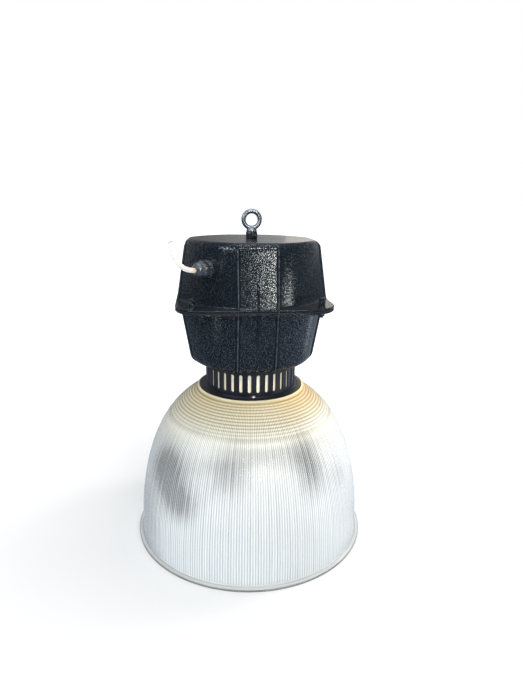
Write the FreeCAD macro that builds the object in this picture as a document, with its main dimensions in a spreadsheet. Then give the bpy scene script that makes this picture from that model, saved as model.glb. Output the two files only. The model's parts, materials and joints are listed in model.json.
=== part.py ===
"""Grow lamp: a high-bay discharge luminaire with a prismatic acrylic shade, standing on its rim.

Frame: millimetres, +Z up. The origin is the middle of the shade's rim, on the surface that the rim
stands on. The housing's flat sides face X and Y, its front is -Y, and the gland is on the front
left chamfer.
"""
import FreeCAD, Part
import math
import os
import re
import Sketcher
from FreeCAD import Placement, Rotation, Vector

SIZES = {
    # prismatic shade
    "rim_radius": 205, "lip_height": 4, "wall_radius": 197.4, "shade_wall": 3,
    "dome_height": 282, "dome_belly": 2.25, "dome_crown": 2.8,
    "shoulder_level": 271.2, "shoulder_radius": 94, "neck_radius": 73, "neck_top": 308,
    # slotted collar and what clamps the shade to it
    "collar_radius": 78, "collar_wall": 2.5, "collar_top": 320, "flange_radius": 90.2,
    "flange_thick": 3, "slot_width": 5.4, "slot_bottom": 279.5, "slot_top": 310,
    "slot_count": 34, "slot_turn": 4,
    "clamp_ring_inner": 75, "clamp_ring_outer": 88, "clamp_ring_thick": 2, "clamp_screw_circle": 84.5,
    "collar_screw_circle": 67.5,
    # two-part cast housing
    "shell_wall": 3, "flat_half": 31, "chamfer_bulge": 9.5,
    "seam_level": 421, "gasket_thick": 1.5, "flange_plate": 4, "lower_plate": 3,
    "flange_half": 124.5, "flange_corner": 52, "screw_x": 98, "screw_y": 108,
    "lower_bottom": 320, "lower_knee": 334, "lower_bottom_half": 88, "lower_knee_half": 101,
    "lower_top_half": 116, "floor_hole": 45, "post_reach": 60, "post_radius": 5,
    "upper_top": 522, "upper_shoulder": 512, "upper_top_half": 97.5, "upper_shoulder_half": 107,
    "upper_bottom_half": 121, "rib_width": 2.4, "rib_stand": 2.6, "boss_radius": 4.8, "boss_top": 438.5,
    # suspension eye
    "eye_centre": 552, "eye_outer": 17, "eye_inner": 9.5, "eye_shank": 4.95, "eye_nut_height": 10.5,
    # cable gland and mains cable
    "gland_level": 483, "gland_out": 112.5, "gland_side": 8, "gland_hex": 24, "gland_thread": 9.9,
    "gland_length": 27.5, "cable_radius": 3.75,
    # control gear
    "tray_level": 412, "tray_thick": 1.5, "tray_half": 92, "tray_flat": 42,
    "core_length": 110, "core_width": 66, "core_height": 58, "ballast_back": 34,
    "capacitor_radius": 20, "capacitor_height": 78, "ignitor_radius": 17, "ignitor_height": 72,
    # lampholder and lamp
    "holder_mouth": 340, "holder_top": 402, "holder_radius": 31, "thread_bore": 20.6,
    "cap_radius": 19.6, "cap_bottom": 342, "cap_top": 384, "eyelet_level": 388,
    "glass_radius": 23, "glass_wall": 1.2, "lamp_tip": 100, "light_centre": 213,
    "arc_tube_radius": 4.5, "arc_tube_length": 86,
}

# Places on the gear tray.
CAPACITOR = ("56", "-36")
IGNITOR = ("-72", "-22")
EARTH = ("24", "-76")
LEAD_HOLES = ("-9", "3")
WAYS = (-38, -24, -10, 4)
BALLAST_FEET = [(f"{side} * (core_length / 2 + 9)", f"ballast_back + {across}")
                for side in (-1, 1) for across in (-14, 14)]

# The gland's axis points out of the front left chamfer.
OUTWARD = Vector(-math.sqrt(0.5), -math.sqrt(0.5), 0)
GLAND_TURN = Rotation(Vector(0, 0, 1), OUTWARD)

doc = FreeCAD.newDocument("grow_lamp")
sheet = doc.addObject("Spreadsheet::Sheet", "Sizes")
for row, (alias, number) in enumerate(SIZES.items(), 1):
    sheet.set(f"A{row}", alias)
    sheet.set(f"B{row}", str(number))
    sheet.setAlias(f"B{row}", alias)
doc.recompute()

nodes = []


def value(expression):
    """The value of an expression in the sheet's aliases."""
    return float(sheet.evalExpression(str(expression)))


def bound(expression):
    """The same expression as another object of the document has to write it."""
    return re.sub(r"[a-z]\w*", lambda m: "Sizes." + m.group() if m.group() in SIZES else m.group(),
                  str(expression))


def bind(obj, **properties):
    """Drives properties of an object from expressions in the sheet's aliases."""
    for name, expression in properties.items():
        obj.setExpression(name, bound(expression))


def place(obj, x=0, y=0, z=0, turn=None):
    """Puts an object at a position given by expressions, with an optional rotation."""
    obj.Placement = Placement(Vector(value(x), value(y), value(z)), turn or Rotation())
    for axis, expression in (("x", x), ("y", y), ("z", z)):
        obj.setExpression(f"Placement.Base.{axis}", bound(expression))


def node(obj, label):
    """Names a finished sub-part and adds it to the ones that are written out."""
    obj.Label = label
    nodes.append(obj)
    return obj


# ---------------------------------------------------------------- shapes that repeat
def new_sketch(body, plane, level="0"):
    """An empty sketch on one of the body's own origin planes, moved along its normal."""
    sketch = body.newObject("Sketcher::SketchObject", "Outline")
    origin_plane = next(f for f in body.Origin.OriginFeatures if f.Role == plane)
    sketch.AttachmentSupport = [(origin_plane, "")]
    sketch.MapMode = "FlatFace"
    sketch.setExpression("AttachmentOffset.Base.z", bound(level))
    return sketch


def closed_outline(sketch, corners, bulges=None):
    """Closes a sketch through corners given as pairs of expressions.

    bulges maps an edge's number to an expression: how far that edge bows out as an arc.
    """
    bulges = bulges or {}
    points = [Vector(value(u), value(v), 0) for u, v in corners]
    middle = sum(points, Vector()) * (1 / len(points))
    count = len(points)
    for i, start in enumerate(points):
        end = points[(i + 1) % count]
        if i not in bulges:
            sketch.addGeometry(Part.LineSegment(start, end))
            continue
        halfway = (start + end) * 0.5
        outward = Vector(end.y - start.y, start.x - end.x, 0).normalize()
        if outward.dot(halfway - middle) < 0:
            outward = outward * -1
        sketch.addGeometry(Part.ArcOfCircle(start, halfway + outward * value(bulges[i]), end))
    for i, (u, v) in enumerate(corners):
        arc = sketch.Geometry[i]
        starts_here = i not in bulges or arc.StartPoint.distanceToPoint(points[i]) < 1e-6
        following = (i + 1) % count
        ahead = sketch.Geometry[following]
        meets = following not in bulges or ahead.StartPoint.distanceToPoint(points[following]) < 1e-6
        sketch.addConstraint(Sketcher.Constraint(
            "Coincident", i, 2 if starts_here else 1, following, 1 if meets else 2))
        for kind, expression, number in (("DistanceX", u, points[i].x), ("DistanceY", v, points[i].y)):
            index = sketch.addConstraint(
                Sketcher.Constraint(kind, -1, 1, i, 1 if starts_here else 2, number))
            sketch.setExpression(f"Constraints[{index}]", bound(expression))
    for i, bulge in bulges.items():
        (u0, v0), (u1, v1) = corners[i], corners[(i + 1) % count]
        chord = f"(({u1}) - ({u0})) ^ 2 + (({v1}) - ({v0})) ^ 2"
        index = sketch.addConstraint(Sketcher.Constraint("Radius", i, sketch.Geometry[i].Radius))
        sketch.setExpression(f"Constraints[{index}]",
                             bound(f"(({chord}) / 4 + ({bulge}) ^ 2) / (2 * ({bulge}))"))


def turned(outline, x=0, y=0, z=0, turn=None):
    """A body turned about its own Z axis from (radius, height) expressions."""
    body = doc.addObject("PartDesign::Body", "Turned")
    sketch = new_sketch(body, "XZ_Plane")
    closed_outline(sketch, outline)
    doc.recompute()
    revolution = body.newObject("PartDesign::Revolution", "Revolution")
    revolution.Profile = sketch
    revolution.ReferenceAxis = (sketch, ["V_Axis"])
    revolution.Angle = 360
    place(body, x, y, z, turn)
    return body


def ring(inner, outer, low, high, **where):
    """A turned washer, tube or disc with a hole."""
    return turned([(inner, low), (outer, low), (outer, high), (inner, high)], **where)


def cylinder(radius, low, high, x=0, y=0):
    rod = doc.addObject("Part::Cylinder", "Rod")
    bind(rod, Radius=radius, Height=f"({high}) - ({low})")
    place(rod, x, y, low)
    return rod


def box(x0, x1, y0, y1, z0, z1):
    block = doc.addObject("Part::Box", "Block")
    bind(block, Length=f"({x1}) - ({x0})", Width=f"({y1}) - ({y0})", Height=f"({z1}) - ({z0})")
    place(block, x0, y0, z0)
    return block


def hexagon(across_flats, low, high, x=0, y=0):
    prism = doc.addObject("Part::Prism", "Hexagon")
    prism.Polygon = 6
    bind(prism, Circumradius=f"({across_flats}) / 1.7320508", Height=f"({high}) - ({low})")
    place(prism, x, y, low)
    return prism


def cut(base, tool):
    result = doc.addObject("Part::Cut", "Cut")
    result.Base, result.Tool = base, tool
    return result


def joined(*shapes):
    if len(shapes) == 1:
        return shapes[0]
    result = doc.addObject("Part::MultiFuse", "Joined")
    result.Shapes = list(shapes)
    return result


def group(shapes):
    """Separate solids of one kind, kept as one node."""
    result = doc.addObject("Part::Compound", "Group")
    result.Links = shapes
    return result


def nut(across_flats, bore, low, high, x=0, y=0):
    return cut(hexagon(across_flats, low, high, x, y),
               cylinder(bore, f"({low}) - 1", f"({high}) + 1", x, y))


def screw(head_radius, shank_radius, tip, seat, head_top, x=0, y=0):
    """A cheese-head screw along Z, whose head may be above or below its shank."""
    return turned([("0", tip), (shank_radius, tip), (shank_radius, seat), (head_radius, seat),
                   (head_radius, head_top), ("0", head_top)], x, y)


def corners_of(x, y=None):
    """The four corner positions at plus and minus an expression in X and in Y."""
    return [(f"{sx} * ({x})", f"{sy} * ({y or x})") for sx in (-1, 1) for sy in (-1, 1)]


def screw_places():
    """The four screws of the housing's seam."""
    return corners_of("screw_x", "screw_y")


def around(count, circle, first=-90):
    """Expressions for positions round the Z axis, the first at the front."""
    angles = [math.radians(first + 360 / count * i) for i in range(count)]
    return [(f"({circle}) * {math.cos(a):.6f}", f"({circle}) * {math.sin(a):.6f}") for a in angles]


def clamp_places():
    """The three screws that hold the shade under the collar."""
    return around(3, "clamp_screw_circle", -92)


# ---------------------------------------------------------------- prismatic shade
def dome_radius(z):
    """The dome's outer radius at a height: a long straight skirt closing to a flat crown."""
    rise = (z / value("dome_height")) ** value("dome_belly")
    return value("wall_radius") * (1 - rise) ** (1 / value("dome_crown"))


def dome_level(radius):
    """The height at which the dome has a radius."""
    rest = 1 - (radius / value("wall_radius")) ** value("dome_crown")
    return value("dome_height") * rest ** (1 / value("dome_belly"))


def make_shade():
    """The shade: a rolled rim, a dome, a flat shoulder under the collar and a neck inside it."""
    wall, lip, neck = value("shade_wall"), value("lip_height"), value("neck_radius")
    shoulder, top = value("shoulder_level"), value("shoulder_radius")
    crown = dome_level(top)
    dome_points = 14

    def curve(inset, low, high):
        levels = [low + (high - low) * math.sin(math.pi / 2 * i / dome_points)
                  for i in range(dome_points + 1)]
        spline = Part.BSplineCurve()
        spline.interpolate([Vector(dome_radius(z) - inset, 0, z - inset * (z / high) ** 6)
                            for z in levels])
        return spline

    outer, inner = curve(0, lip, crown), curve(wall, lip, crown)
    first, last = inner.value(inner.FirstParameter), inner.value(inner.LastParameter)
    rim, under = value("rim_radius"), shoulder - wall
    outside = [Vector(rim, 0, lip), Vector(rim, 0, 0), Vector(first.x, 0, 0), first]
    inside = [last, Vector(last.x - 2, 0, under), Vector(neck - wall, 0, under),
              Vector(neck - wall, 0, value("neck_top")), Vector(neck, 0, value("neck_top")),
              Vector(neck, 0, shoulder), Vector(top, 0, shoulder), outer.value(outer.LastParameter)]
    edges = [outer.toShape(), Part.makeLine(outer.value(outer.FirstParameter), outside[0])]
    edges += [Part.makeLine(a, b) for a, b in zip(outside, outside[1:])]
    edges.append(inner.toShape())
    edges += [Part.makeLine(a, b) for a, b in zip(inside, inside[1:]) if a.distanceToPoint(b) > 1e-6]
    profile = Part.Wire(Part.__sortEdges__(edges))
    shade = doc.addObject("Part::Feature", "Shade")
    shade.Shape = Part.Face(profile).revolve(Vector(), Vector(0, 0, 1), 360)
    screw_holes = group([cylinder("2.2", f"{under} - 2", f"{shoulder} + 2", x, y)
                         for x, y in clamp_places()])
    return node(cut(shade, screw_holes), "prismatic_shade")


def make_collar():
    """The black slotted collar: a tube with an inner flange at the top and an outer one below."""
    low = "shoulder_level"
    inside = "collar_radius - collar_wall"
    body = turned([
        (inside, low), ("flange_radius", low), ("flange_radius", f"{low} + flange_thick * 0.6"),
        ("flange_radius - 2.4", f"{low} + flange_thick"), ("84.5", f"{low} + flange_thick"),
        ("84", f"{low} + flange_thick + 1"), ("82", f"{low} + flange_thick + 1"),
        ("81.5", f"{low} + flange_thick"), ("collar_radius + 0.8", f"{low} + flange_thick"),
        ("collar_radius", f"{low} + flange_thick + 0.8"), ("collar_radius", "collar_top"),
        ("61", "collar_top"), ("61", "collar_top - 2.5"), (inside, "collar_top - 2.5")],
        turn=Rotation(Vector(0, 0, 1), value("slot_turn")))
    doc.recompute()
    whole = body.Shape.Volume
    sketch = new_sketch(body, "XZ_Plane")
    half, bottom, top = "slot_width / 2", "slot_bottom + slot_width / 2", "slot_top - slot_width / 2"
    closed_outline(sketch, [(f"-{half}", bottom), (half, bottom), (half, top), (f"-{half}", top)],
                   {0: "slot_width / 2 - 0.001", 2: "slot_width / 2 - 0.001"})
    doc.recompute()
    slot = body.newObject("PartDesign::Pocket", "Slot")
    slot.Profile = sketch
    bind(slot, Length="collar_radius + 10")
    slot.Reversed = True
    doc.recompute()
    if body.Shape.Volume >= whole:
        raise SystemExit("the collar's slot cuts nothing")
    pattern = body.newObject("PartDesign::PolarPattern", "Slots")
    pattern.Originals = [slot]
    pattern.Axis = (next(f for f in body.Origin.OriginFeatures if f.Role == "Z_Axis"), [""])
    pattern.Angle = 360
    pattern.Occurrences = int(value("slot_count"))
    body.Tip = pattern
    collar_holes = group([cylinder("2.6", "collar_top - 5", "collar_top + 1", x, y)
                          for x, y in around(4, "collar_screw_circle", 45)])
    clamp_holes = group([cylinder("2.2", "shoulder_level - 1", "shoulder_level + 6", x, y)
                         for x, y in clamp_places()])
    return node(cut(cut(body, collar_holes), clamp_holes), "vented_collar")


def make_shade_clamp():
    """The ring under the shade's shoulder, with the screws and nuts that pull it up."""
    top = "shoulder_level - shade_wall"
    low = f"{top} - clamp_ring_thick"
    places = clamp_places()
    holes = group([cylinder("2.2", f"{low} - 1", f"{top} + 1", x, y) for x, y in places])
    node(cut(ring("clamp_ring_inner", "clamp_ring_outer", low, top), holes), "shade_clamp_ring")
    seat = "shoulder_level + flange_thick + 1"
    node(group([screw("3.6", "1.95", f"{low} - 5", seat, f"{seat} + 2.6", x, y)
                for x, y in places]), "shade_clamp_screws")
    node(group([nut("7", "1.95", f"{low} - 3.2", low, x, y) for x, y in places]), "shade_clamp_nuts")


def make_collar_screws():
    under = "collar_top - 2.5"
    node(group([screw("4.2", "2.45", "lower_bottom + 6", under, f"{under} - 3.2", x, y)
                for x, y in around(4, "collar_screw_circle", 45)]), "collar_screws")


# ---------------------------------------------------------------- cast housing
def eight_sided(body, level, half, inset="0"):
    """The housing's plan at a level: four flats joined by bowed chamfers."""
    d, a = f"({half}) - ({inset})", f"flat_half - ({inset}) * 0.42"
    corners = [(a, f"-({d})"), (d, f"-({a})"), (d, a), (a, d),
               (f"-({a})", d), (f"-({d})", a), (f"-({d})", f"-({a})"), (f"-({a})", f"-({d})")]
    sketch = new_sketch(body, "XY_Plane", level)
    closed_outline(sketch, corners, {i: "chamfer_bulge" for i in (0, 2, 4, 6)})
    return sketch


def shell(levels, cavity):
    """A cast shell lofted through (level, half width) pairs, less the cavity's own pairs."""
    body = doc.addObject("PartDesign::Body", "Shell")
    for kind, pairs, inset in (("AdditiveLoft", levels, "0"), ("SubtractiveLoft", cavity, "shell_wall")):
        sketches = [eight_sided(body, level, half, inset) for level, half in pairs]
        doc.recompute()
        loft = body.newObject(f"PartDesign::{kind}", kind)
        loft.Profile = sketches[0]
        loft.Sections = sketches[1:]
        loft.Ruled = True
        doc.recompute()
    return body


def flange_plate(low, high):
    """The square flange with rounded corners that carries the seam's screws."""
    reach, corner = "flange_half", "flange_corner"
    flat = f"({reach}) - ({corner})"
    slabs = [box(f"-({reach})", reach, f"-({flat})", flat, low, high),
             box(f"-({flat})", flat, f"-({reach})", reach, low, high)]
    slabs += [cylinder(corner, low, high, x, y) for x, y in corners_of(flat)]
    return slabs


def ribs(low, high, low_half, high_half, centre_low, centre_high):
    """Drafted ribs on the four flats: two at the edges over the full height, one short one."""
    bodies = []
    slope = f"(({high_half}) - ({low_half})) / (({high}) - ({low}))"
    for quarter in range(4):
        for across, bottom, top in (("-(flat_half - 1)", low, high), ("flat_half - 1", low, high),
                                    ("0", centre_low, centre_high)):
            body = doc.addObject("PartDesign::Body", "Rib")
            sketch = new_sketch(body, "XZ_Plane", "0")
            near = [f"-(({low_half}) + ({slope}) * (({z}) - ({low})))" for z in (bottom, top)]
            closed_outline(sketch, [
                (f"{near[0]} + 4", bottom), (f"{near[0]} - rib_stand", bottom),
                (f"{near[1]} - rib_stand", top), (f"{near[1]} + 4", top)])
            pad = body.newObject("PartDesign::Pad", "Pad")
            pad.Profile = sketch
            bind(pad, Length="rib_width")
            pad.Midplane = True
            turn = Rotation(Vector(0, 0, 1), 90 * quarter)
            side = [("0", across), (f"-({across})", "0"), ("0", f"-({across})"), (across, "0")][quarter]
            place(body, side[0], side[1], "0", turn)
            bodies.append(body)
    return bodies


def make_lower_housing():
    """The bowl of the housing: floor with the lamp's hole, four posts, flange and ribs."""
    top, floor = "seam_level", "lower_bottom + 4"
    levels = [("lower_bottom", "lower_bottom_half"), ("lower_knee - 7", "lower_knee_half - 4"),
              ("lower_knee", "lower_knee_half"), (top, "lower_top_half")]
    cavity = [(floor, "lower_bottom_half + 3"), ("lower_knee", "lower_knee_half"),
              (f"{top} + 1", "lower_top_half")]
    bowl = shell(levels, cavity)
    flange = flange_plate(f"{top} - lower_plate", top)
    opening = shell_core(f"{top} - lower_plate - 1", f"{top} + 1", "lower_top_half")
    rim = cut(joined(*flange), opening)
    posts = [cylinder("post_radius", floor, "tray_level", x, y) for x, y in corners_of("post_reach")]
    fins = ribs("lower_knee", f"{top} - lower_plate + 1", "lower_knee_half", "lower_top_half",
                "seam_level - 38", f"{top} - lower_plate + 1")
    whole = joined(bowl, rim, *posts, *fins)
    holes = [cylinder("floor_hole", "lower_bottom - 1", f"{floor} + 1")]
    holes += [cylinder("2.55", "lower_bottom - 1", "lower_bottom + 8", x, y)
              for x, y in around(4, "collar_screw_circle", 45)]
    holes += [cylinder("2.05", "tray_level - 14", "tray_level + 1", x, y)
              for x, y in corners_of("post_reach")]
    holes += [cylinder("2.7", f"{top} - lower_plate - 1", f"{top} + 1", x, y)
              for x, y in screw_places()]
    node(cut(whole, group(holes)), "lower_housing")


def shell_core(low, high, half):
    """A straight prism of the housing's inside plan."""
    body = doc.addObject("PartDesign::Body", "Core")
    sketch = eight_sided(body, low, half, "shell_wall")
    doc.recompute()
    pad = body.newObject("PartDesign::Pad", "Pad")
    pad.Profile = sketch
    bind(pad, Length=f"({high}) - ({low})")
    return body


def make_upper_housing():
    """The lid of the housing: a drafted canopy with ribs, screw bosses and the gland's pad."""
    low = "seam_level + gasket_thick"
    levels = [(low, "upper_bottom_half"), ("upper_shoulder", "upper_shoulder_half"),
              ("upper_shoulder + 6.5", "upper_shoulder_half - 2.9"), ("upper_top", "upper_top_half")]
    cavity = [(f"{low} - 1", "upper_bottom_half"), ("upper_shoulder", "upper_shoulder_half"),
              ("upper_top - 3.5", "upper_shoulder_half - 3.5")]
    lid = shell(levels, cavity)
    rim = cut(joined(*flange_plate(low, f"{low} + flange_plate")),
              shell_core(f"{low} - 1", f"{low} + flange_plate + 1", "upper_bottom_half"))
    bosses = [cylinder("boss_radius", low, "boss_top", x, y) for x, y in screw_places()]
    fins = ribs(f"{low} + 1", "upper_shoulder", "upper_bottom_half", "upper_shoulder_half",
                f"{low} + 1", "seam_level + 40")
    pad = gland_rod("17", "gland_out - 10.5", "gland_out")
    whole = joined(lid, rim, pad, *bosses, *fins)
    holes = [cylinder("2.7", f"{low} - 1", "boss_top + 1", x, y) for x, y in screw_places()]
    holes.append(cylinder("eye_shank + 0.1", "upper_top - 10", "upper_top + 2"))
    holes.append(gland_rod("gland_thread + 0.1", "gland_out - 22", "gland_out + 2"))
    node(cut(whole, group(holes)), "upper_housing")


def make_housing_seam():
    """The gasket between the two halves, and the four screws and nuts that close it."""
    low, high = "seam_level", "seam_level + gasket_thick"
    pad = cut(joined(*flange_plate(low, high)), shell_core(f"{low} - 1", f"{high} + 1", "lower_top_half"))
    holes = group([cylinder("2.7", f"{low} - 1", f"{high} + 1", x, y)
                   for x, y in screw_places()])
    node(cut(pad, holes), "housing_gasket")
    under = "seam_level - lower_plate"
    node(group([screw("4.7", "2.5", f"{under} - 6.5", "boss_top", "boss_top + 3.8", x, y)
                for x, y in screw_places()]), "housing_screws")
    node(group([nut("8", "2.5", f"{under} - 4", under, x, y)
                for x, y in screw_places()]), "housing_nuts")


# ---------------------------------------------------------------- suspension eye
def make_eye():
    """The forged eye bolt through the lid, with its lock nut above and washer and nut below."""
    top = "upper_top"
    middle, thick = "(eye_outer + eye_inner) / 2", "(eye_outer - eye_inner) / 2"
    loop = doc.addObject("Part::Torus", "Loop")
    bind(loop, Radius1=middle, Radius2=thick)
    place(loop, z="eye_centre", turn=Rotation(Vector(1, 0, 0), 90))
    nut_top = f"{top} + eye_nut_height"
    stem = turned([("0", f"{top} - 16"), ("eye_shank", f"{top} - 16"), ("eye_shank", nut_top),
                   ("8.6", nut_top), ("8.8", f"{nut_top} + 3.5"), ("6.4", f"{nut_top} + 6.4"),
                   ("0", f"{nut_top} + 6.4")])
    node(joined(loop, stem), "eye_bolt")
    node(nut("18", "eye_shank", top, nut_top), "eye_lock_nut")
    ceiling = f"{top} - 3.5"
    node(ring("eye_shank + 0.2", "12", f"{ceiling} - 2", ceiling), "eye_washer")
    node(nut("17", "eye_shank", f"{ceiling} - 10", f"{ceiling} - 2"), "eye_inner_nut")


# ---------------------------------------------------------------- cable gland

def gland_point(out, up=0.0):
    """A point on the gland's axis, out from the middle of the housing, and above the axis."""
    along = Vector(math.sqrt(0.5), -math.sqrt(0.5), 0)
    return OUTWARD * out + along * value("gland_side") + Vector(0, 0, value("gland_level") + up)


def on_gland(shape, out):
    """Moves a shape made along +Z to a distance out on the gland's axis."""
    half = "0.7071068"
    place(shape, f"(gland_side - ({out})) * {half}", f"-(gland_side + ({out})) * {half}",
          "gland_level", GLAND_TURN)
    return shape


def gland_rod(radius, near, far):
    rod = doc.addObject("Part::Cylinder", "Rod")
    bind(rod, Radius=radius, Height=f"({far}) - ({near})")
    return on_gland(rod, near)


def gland_hexagon(across_flats, near, far):
    prism = doc.addObject("Part::Prism", "Hexagon")
    prism.Polygon = 6
    bind(prism, Circumradius=f"({across_flats}) / 1.7320508", Height=f"({far}) - ({near})")
    return on_gland(prism, near)


def gland_turned(outline, near):
    return on_gland(turned(outline), near)


def make_gland():
    """Body screwed through the lid, seal, domed cap nut and the lock nut inside."""
    out, thread = "gland_out", "gland_thread"
    body = joined(gland_hexagon("gland_hex", out, f"{out} + 5"),
                  gland_rod(thread, f"{out} - 17", out), gland_rod("8.8", f"{out} + 5", f"{out} + 13.5"))
    bore = joined(gland_rod("4.6", f"{out} - 18", f"{out} + 8"),
                  gland_rod("7.2", f"{out} + 8", f"{out} + 14.5"))
    node(cut(body, bore), "gland_body")
    node(cut(gland_hexagon("26", f"{out} - 15.5", f"{out} - 10.5"),
             gland_rod(thread, f"{out} - 17", f"{out} - 9")), "gland_locknut")
    node(gland_turned([("cable_radius", "0"), ("7", "0"), ("7", "6"), ("5.2", "12"),
                       ("cable_radius", "12")], f"{out} + 8.2"), "gland_seal")
    cap = joined(gland_hexagon("gland_hex", f"{out} + 5.4", f"{out} + 17"),
                 gland_turned([("0", "0"), ("11.6", "0"), ("11", "3.5"), ("9", "7.4"), ("6.4", "9.8"),
                               ("5.6", "gland_length - 17"), ("0", "gland_length - 17")],
                              f"{out} + 17"))
    inside = gland_turned([("0", "0"), ("9.2", "0"), ("9.2", "8.7"), ("7.4", "9.8"), ("7.4", "11.2"),
                           ("5.6", "17.2"), ("4.3", "17.8"), ("4.3", "gland_length"),
                           ("0", "gland_length")], f"{out} + 5.2")
    node(cut(cap, inside), "gland_cap")


def route_wire(points):
    """Straight runs joined by tangent arcs, each as large as 0.45 of its shorter run allows."""
    edges, start, radii = [], points[0], []
    for before, corner, after in zip(points, points[1:], points[2:]):
        back, ahead = before - corner, after - corner
        reach = 0.45 * min(back.Length, ahead.Length)
        half_turn = (math.pi - back.getAngle(ahead)) / 2
        radii.append(reach / math.tan(half_turn))
        back.normalize()
        ahead.normalize()
        enter, leave = corner + back * reach, corner + ahead * reach
        inward = (back + ahead).normalize()
        centre = corner + inward * (radii[-1] / math.cos(half_turn))
        edges.append(Part.LineSegment(start, enter).toShape())
        edges.append(Part.Arc(enter, centre - inward * radii[-1], leave).toShape())
        start = leave
    edges.append(Part.LineSegment(start, points[-1]).toShape())
    return Part.Wire(edges), radii


def tube(label, points, radius):
    """A round cable or wire along a route, as one closed solid."""
    wire, radii = route_wire(points)
    along = points[1] - points[0]
    section = Part.Wire(Part.makeCircle(radius, points[0], along))
    solid = wire.makePipeShell([section], True, False)
    expected = math.pi * radius ** 2 * wire.Length
    tight = ", ".join(f"{r:.1f}" for r in radii)
    print(f"{label}: length {wire.Length:.1f}, radii {tight}, volume ratio {solid.Volume / expected:.4f}")
    feature = doc.addObject("Part::Feature", "Cable")
    feature.Shape = solid
    return node(feature, label)


def make_mains_cable():
    """The cable: its held part inside the gland, and the free end that curls up outside."""
    mouth = value("gland_out") + value("gland_length")
    radius = value("cable_radius")
    inner_end = value("gland_out") - 22
    sheath = doc.addObject("Part::Feature", "Sheath")
    sheath.Shape = Part.makeCylinder(radius, mouth - inner_end, gland_point(inner_end), OUTWARD)
    node(sheath, "mains_cable_held")
    run = 13.6
    headings = (8, 26, 45, 64, 82)
    out, up = mouth, 0.0
    points = [gland_point(out, up)]
    for heading in headings:
        out += run * math.cos(math.radians(heading))
        up += run * math.sin(math.radians(heading))
        points.append(gland_point(out, up))
    tube("mains_cable", points, radius)


# ---------------------------------------------------------------- control gear
def make_tray():
    """The steel tray on the four posts, with its screws."""
    low, high = "tray_level", "tray_level + tray_thick"
    body = doc.addObject("PartDesign::Body", "Tray")
    d, a = "tray_half", "tray_flat"
    sketch = new_sketch(body, "XY_Plane", low)
    closed_outline(sketch, [(a, f"-{d}"), (d, f"-{a}"), (d, a), (a, d), (f"-{a}", d), (f"-{d}", a),
                            (f"-{d}", f"-{a}"), (f"-{a}", f"-{d}")])
    pad = body.newObject("PartDesign::Pad", "Pad")
    pad.Profile = sketch
    bind(pad, Length="tray_thick")
    holes = [cylinder("2.2", f"{low} - 1", f"{high} + 1", x, y) for x, y in corners_of("post_reach")]
    holes += [cylinder("2.2", f"{low} - 1", f"{high} + 1", x, y) for x, y in BALLAST_FEET]
    holes += [cylinder("4.1", f"{low} - 1", f"{high} + 1", x, y) for x, y in (CAPACITOR, IGNITOR)]
    holes += [cylinder("4", f"{low} - 1", f"{high} + 1", x, "-35") for x in LEAD_HOLES]
    holes += [cylinder("2.2", f"{low} - 1", f"{high} + 1", *EARTH)]
    node(cut(body, group(holes)), "gear_tray")
    node(group([screw("3.8", "2", f"{low} - 11", high, f"{high} + 2.8", x, y)
                for x, y in corners_of("post_reach")]), "tray_screws")


def make_ballast():
    """A choke: laminated core, winding on its middle leg, clamp with feet, and the feet's screws."""
    floor = "tray_level + tray_thick"
    clamp = "1.5"
    base = f"{floor} + {clamp}"
    x, y0 = "core_length / 2", "ballast_back - core_width / 2"
    y1, top = "ballast_back + core_width / 2", f"{base} + core_height"
    window, leg = "core_width / 6", "core_width / 6"
    core = box(f"-({x})", x, y0, y1, base, top)
    slots = []
    for side in (-1, 1):
        middle = f"ballast_back + {side} * ({leg} + {window} / 2)"
        slots.append(box(f"-({x}) + 10", f"({x}) - 10", f"({middle}) - ({window}) / 2 + 0.2",
                         f"({middle}) + ({window}) / 2 - 0.2", f"{base} - 1", f"{top} + 1"))
    node(cut(core, group(slots)), "ballast_core")
    coil = box(f"-({x}) + 10.5", f"({x}) - 10.5", f"ballast_back - {leg} - {window} + 0.5",
               f"ballast_back + {leg} + {window} - 0.5", f"{base} + 0.5", f"{top} + 7")
    leg_hole = box(f"-({x}) + 10.2", f"({x}) - 10.2", f"ballast_back - {leg}  - 0.3",
                   f"ballast_back + {leg} + 0.3", f"{base} - 1", f"{top} + 0.3")
    ends = [box(f"{side} * ({x} - 5.25) - 5.5", f"{side} * ({x} - 5.25) + 5.5",
                f"ballast_back - core_width", f"ballast_back + core_width", f"{base} - 2",
                f"{top} + 0.3") for side in (-1, 1)]
    node(cut(coil, joined(leg_hole, *ends)), "ballast_winding")
    strap = box(f"-({x}) - 16", f"({x}) + 16", "ballast_back - 20", "ballast_back + 20", floor,
                f"{floor} + {clamp}")
    cheeks = [box(f"{side} * ({x} + 0.75) - 0.75", f"{side} * ({x} + 0.75) + 0.75",
                  "ballast_back - 20", "ballast_back + 20", floor, f"{floor} + 34")
              for side in (-1, 1)]
    feet = group([cylinder("2.2", f"{floor} - 1", f"{floor} + 3", fx, fy) for fx, fy in BALLAST_FEET])
    node(cut(joined(strap, *cheeks), feet), "ballast_clamp")
    node(group([screw("3.8", "2", f"{floor} - 6", f"{floor} + {clamp}", f"{floor} + 4.2", fx, fy)
                for fx, fy in BALLAST_FEET]), "ballast_screws")


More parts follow.
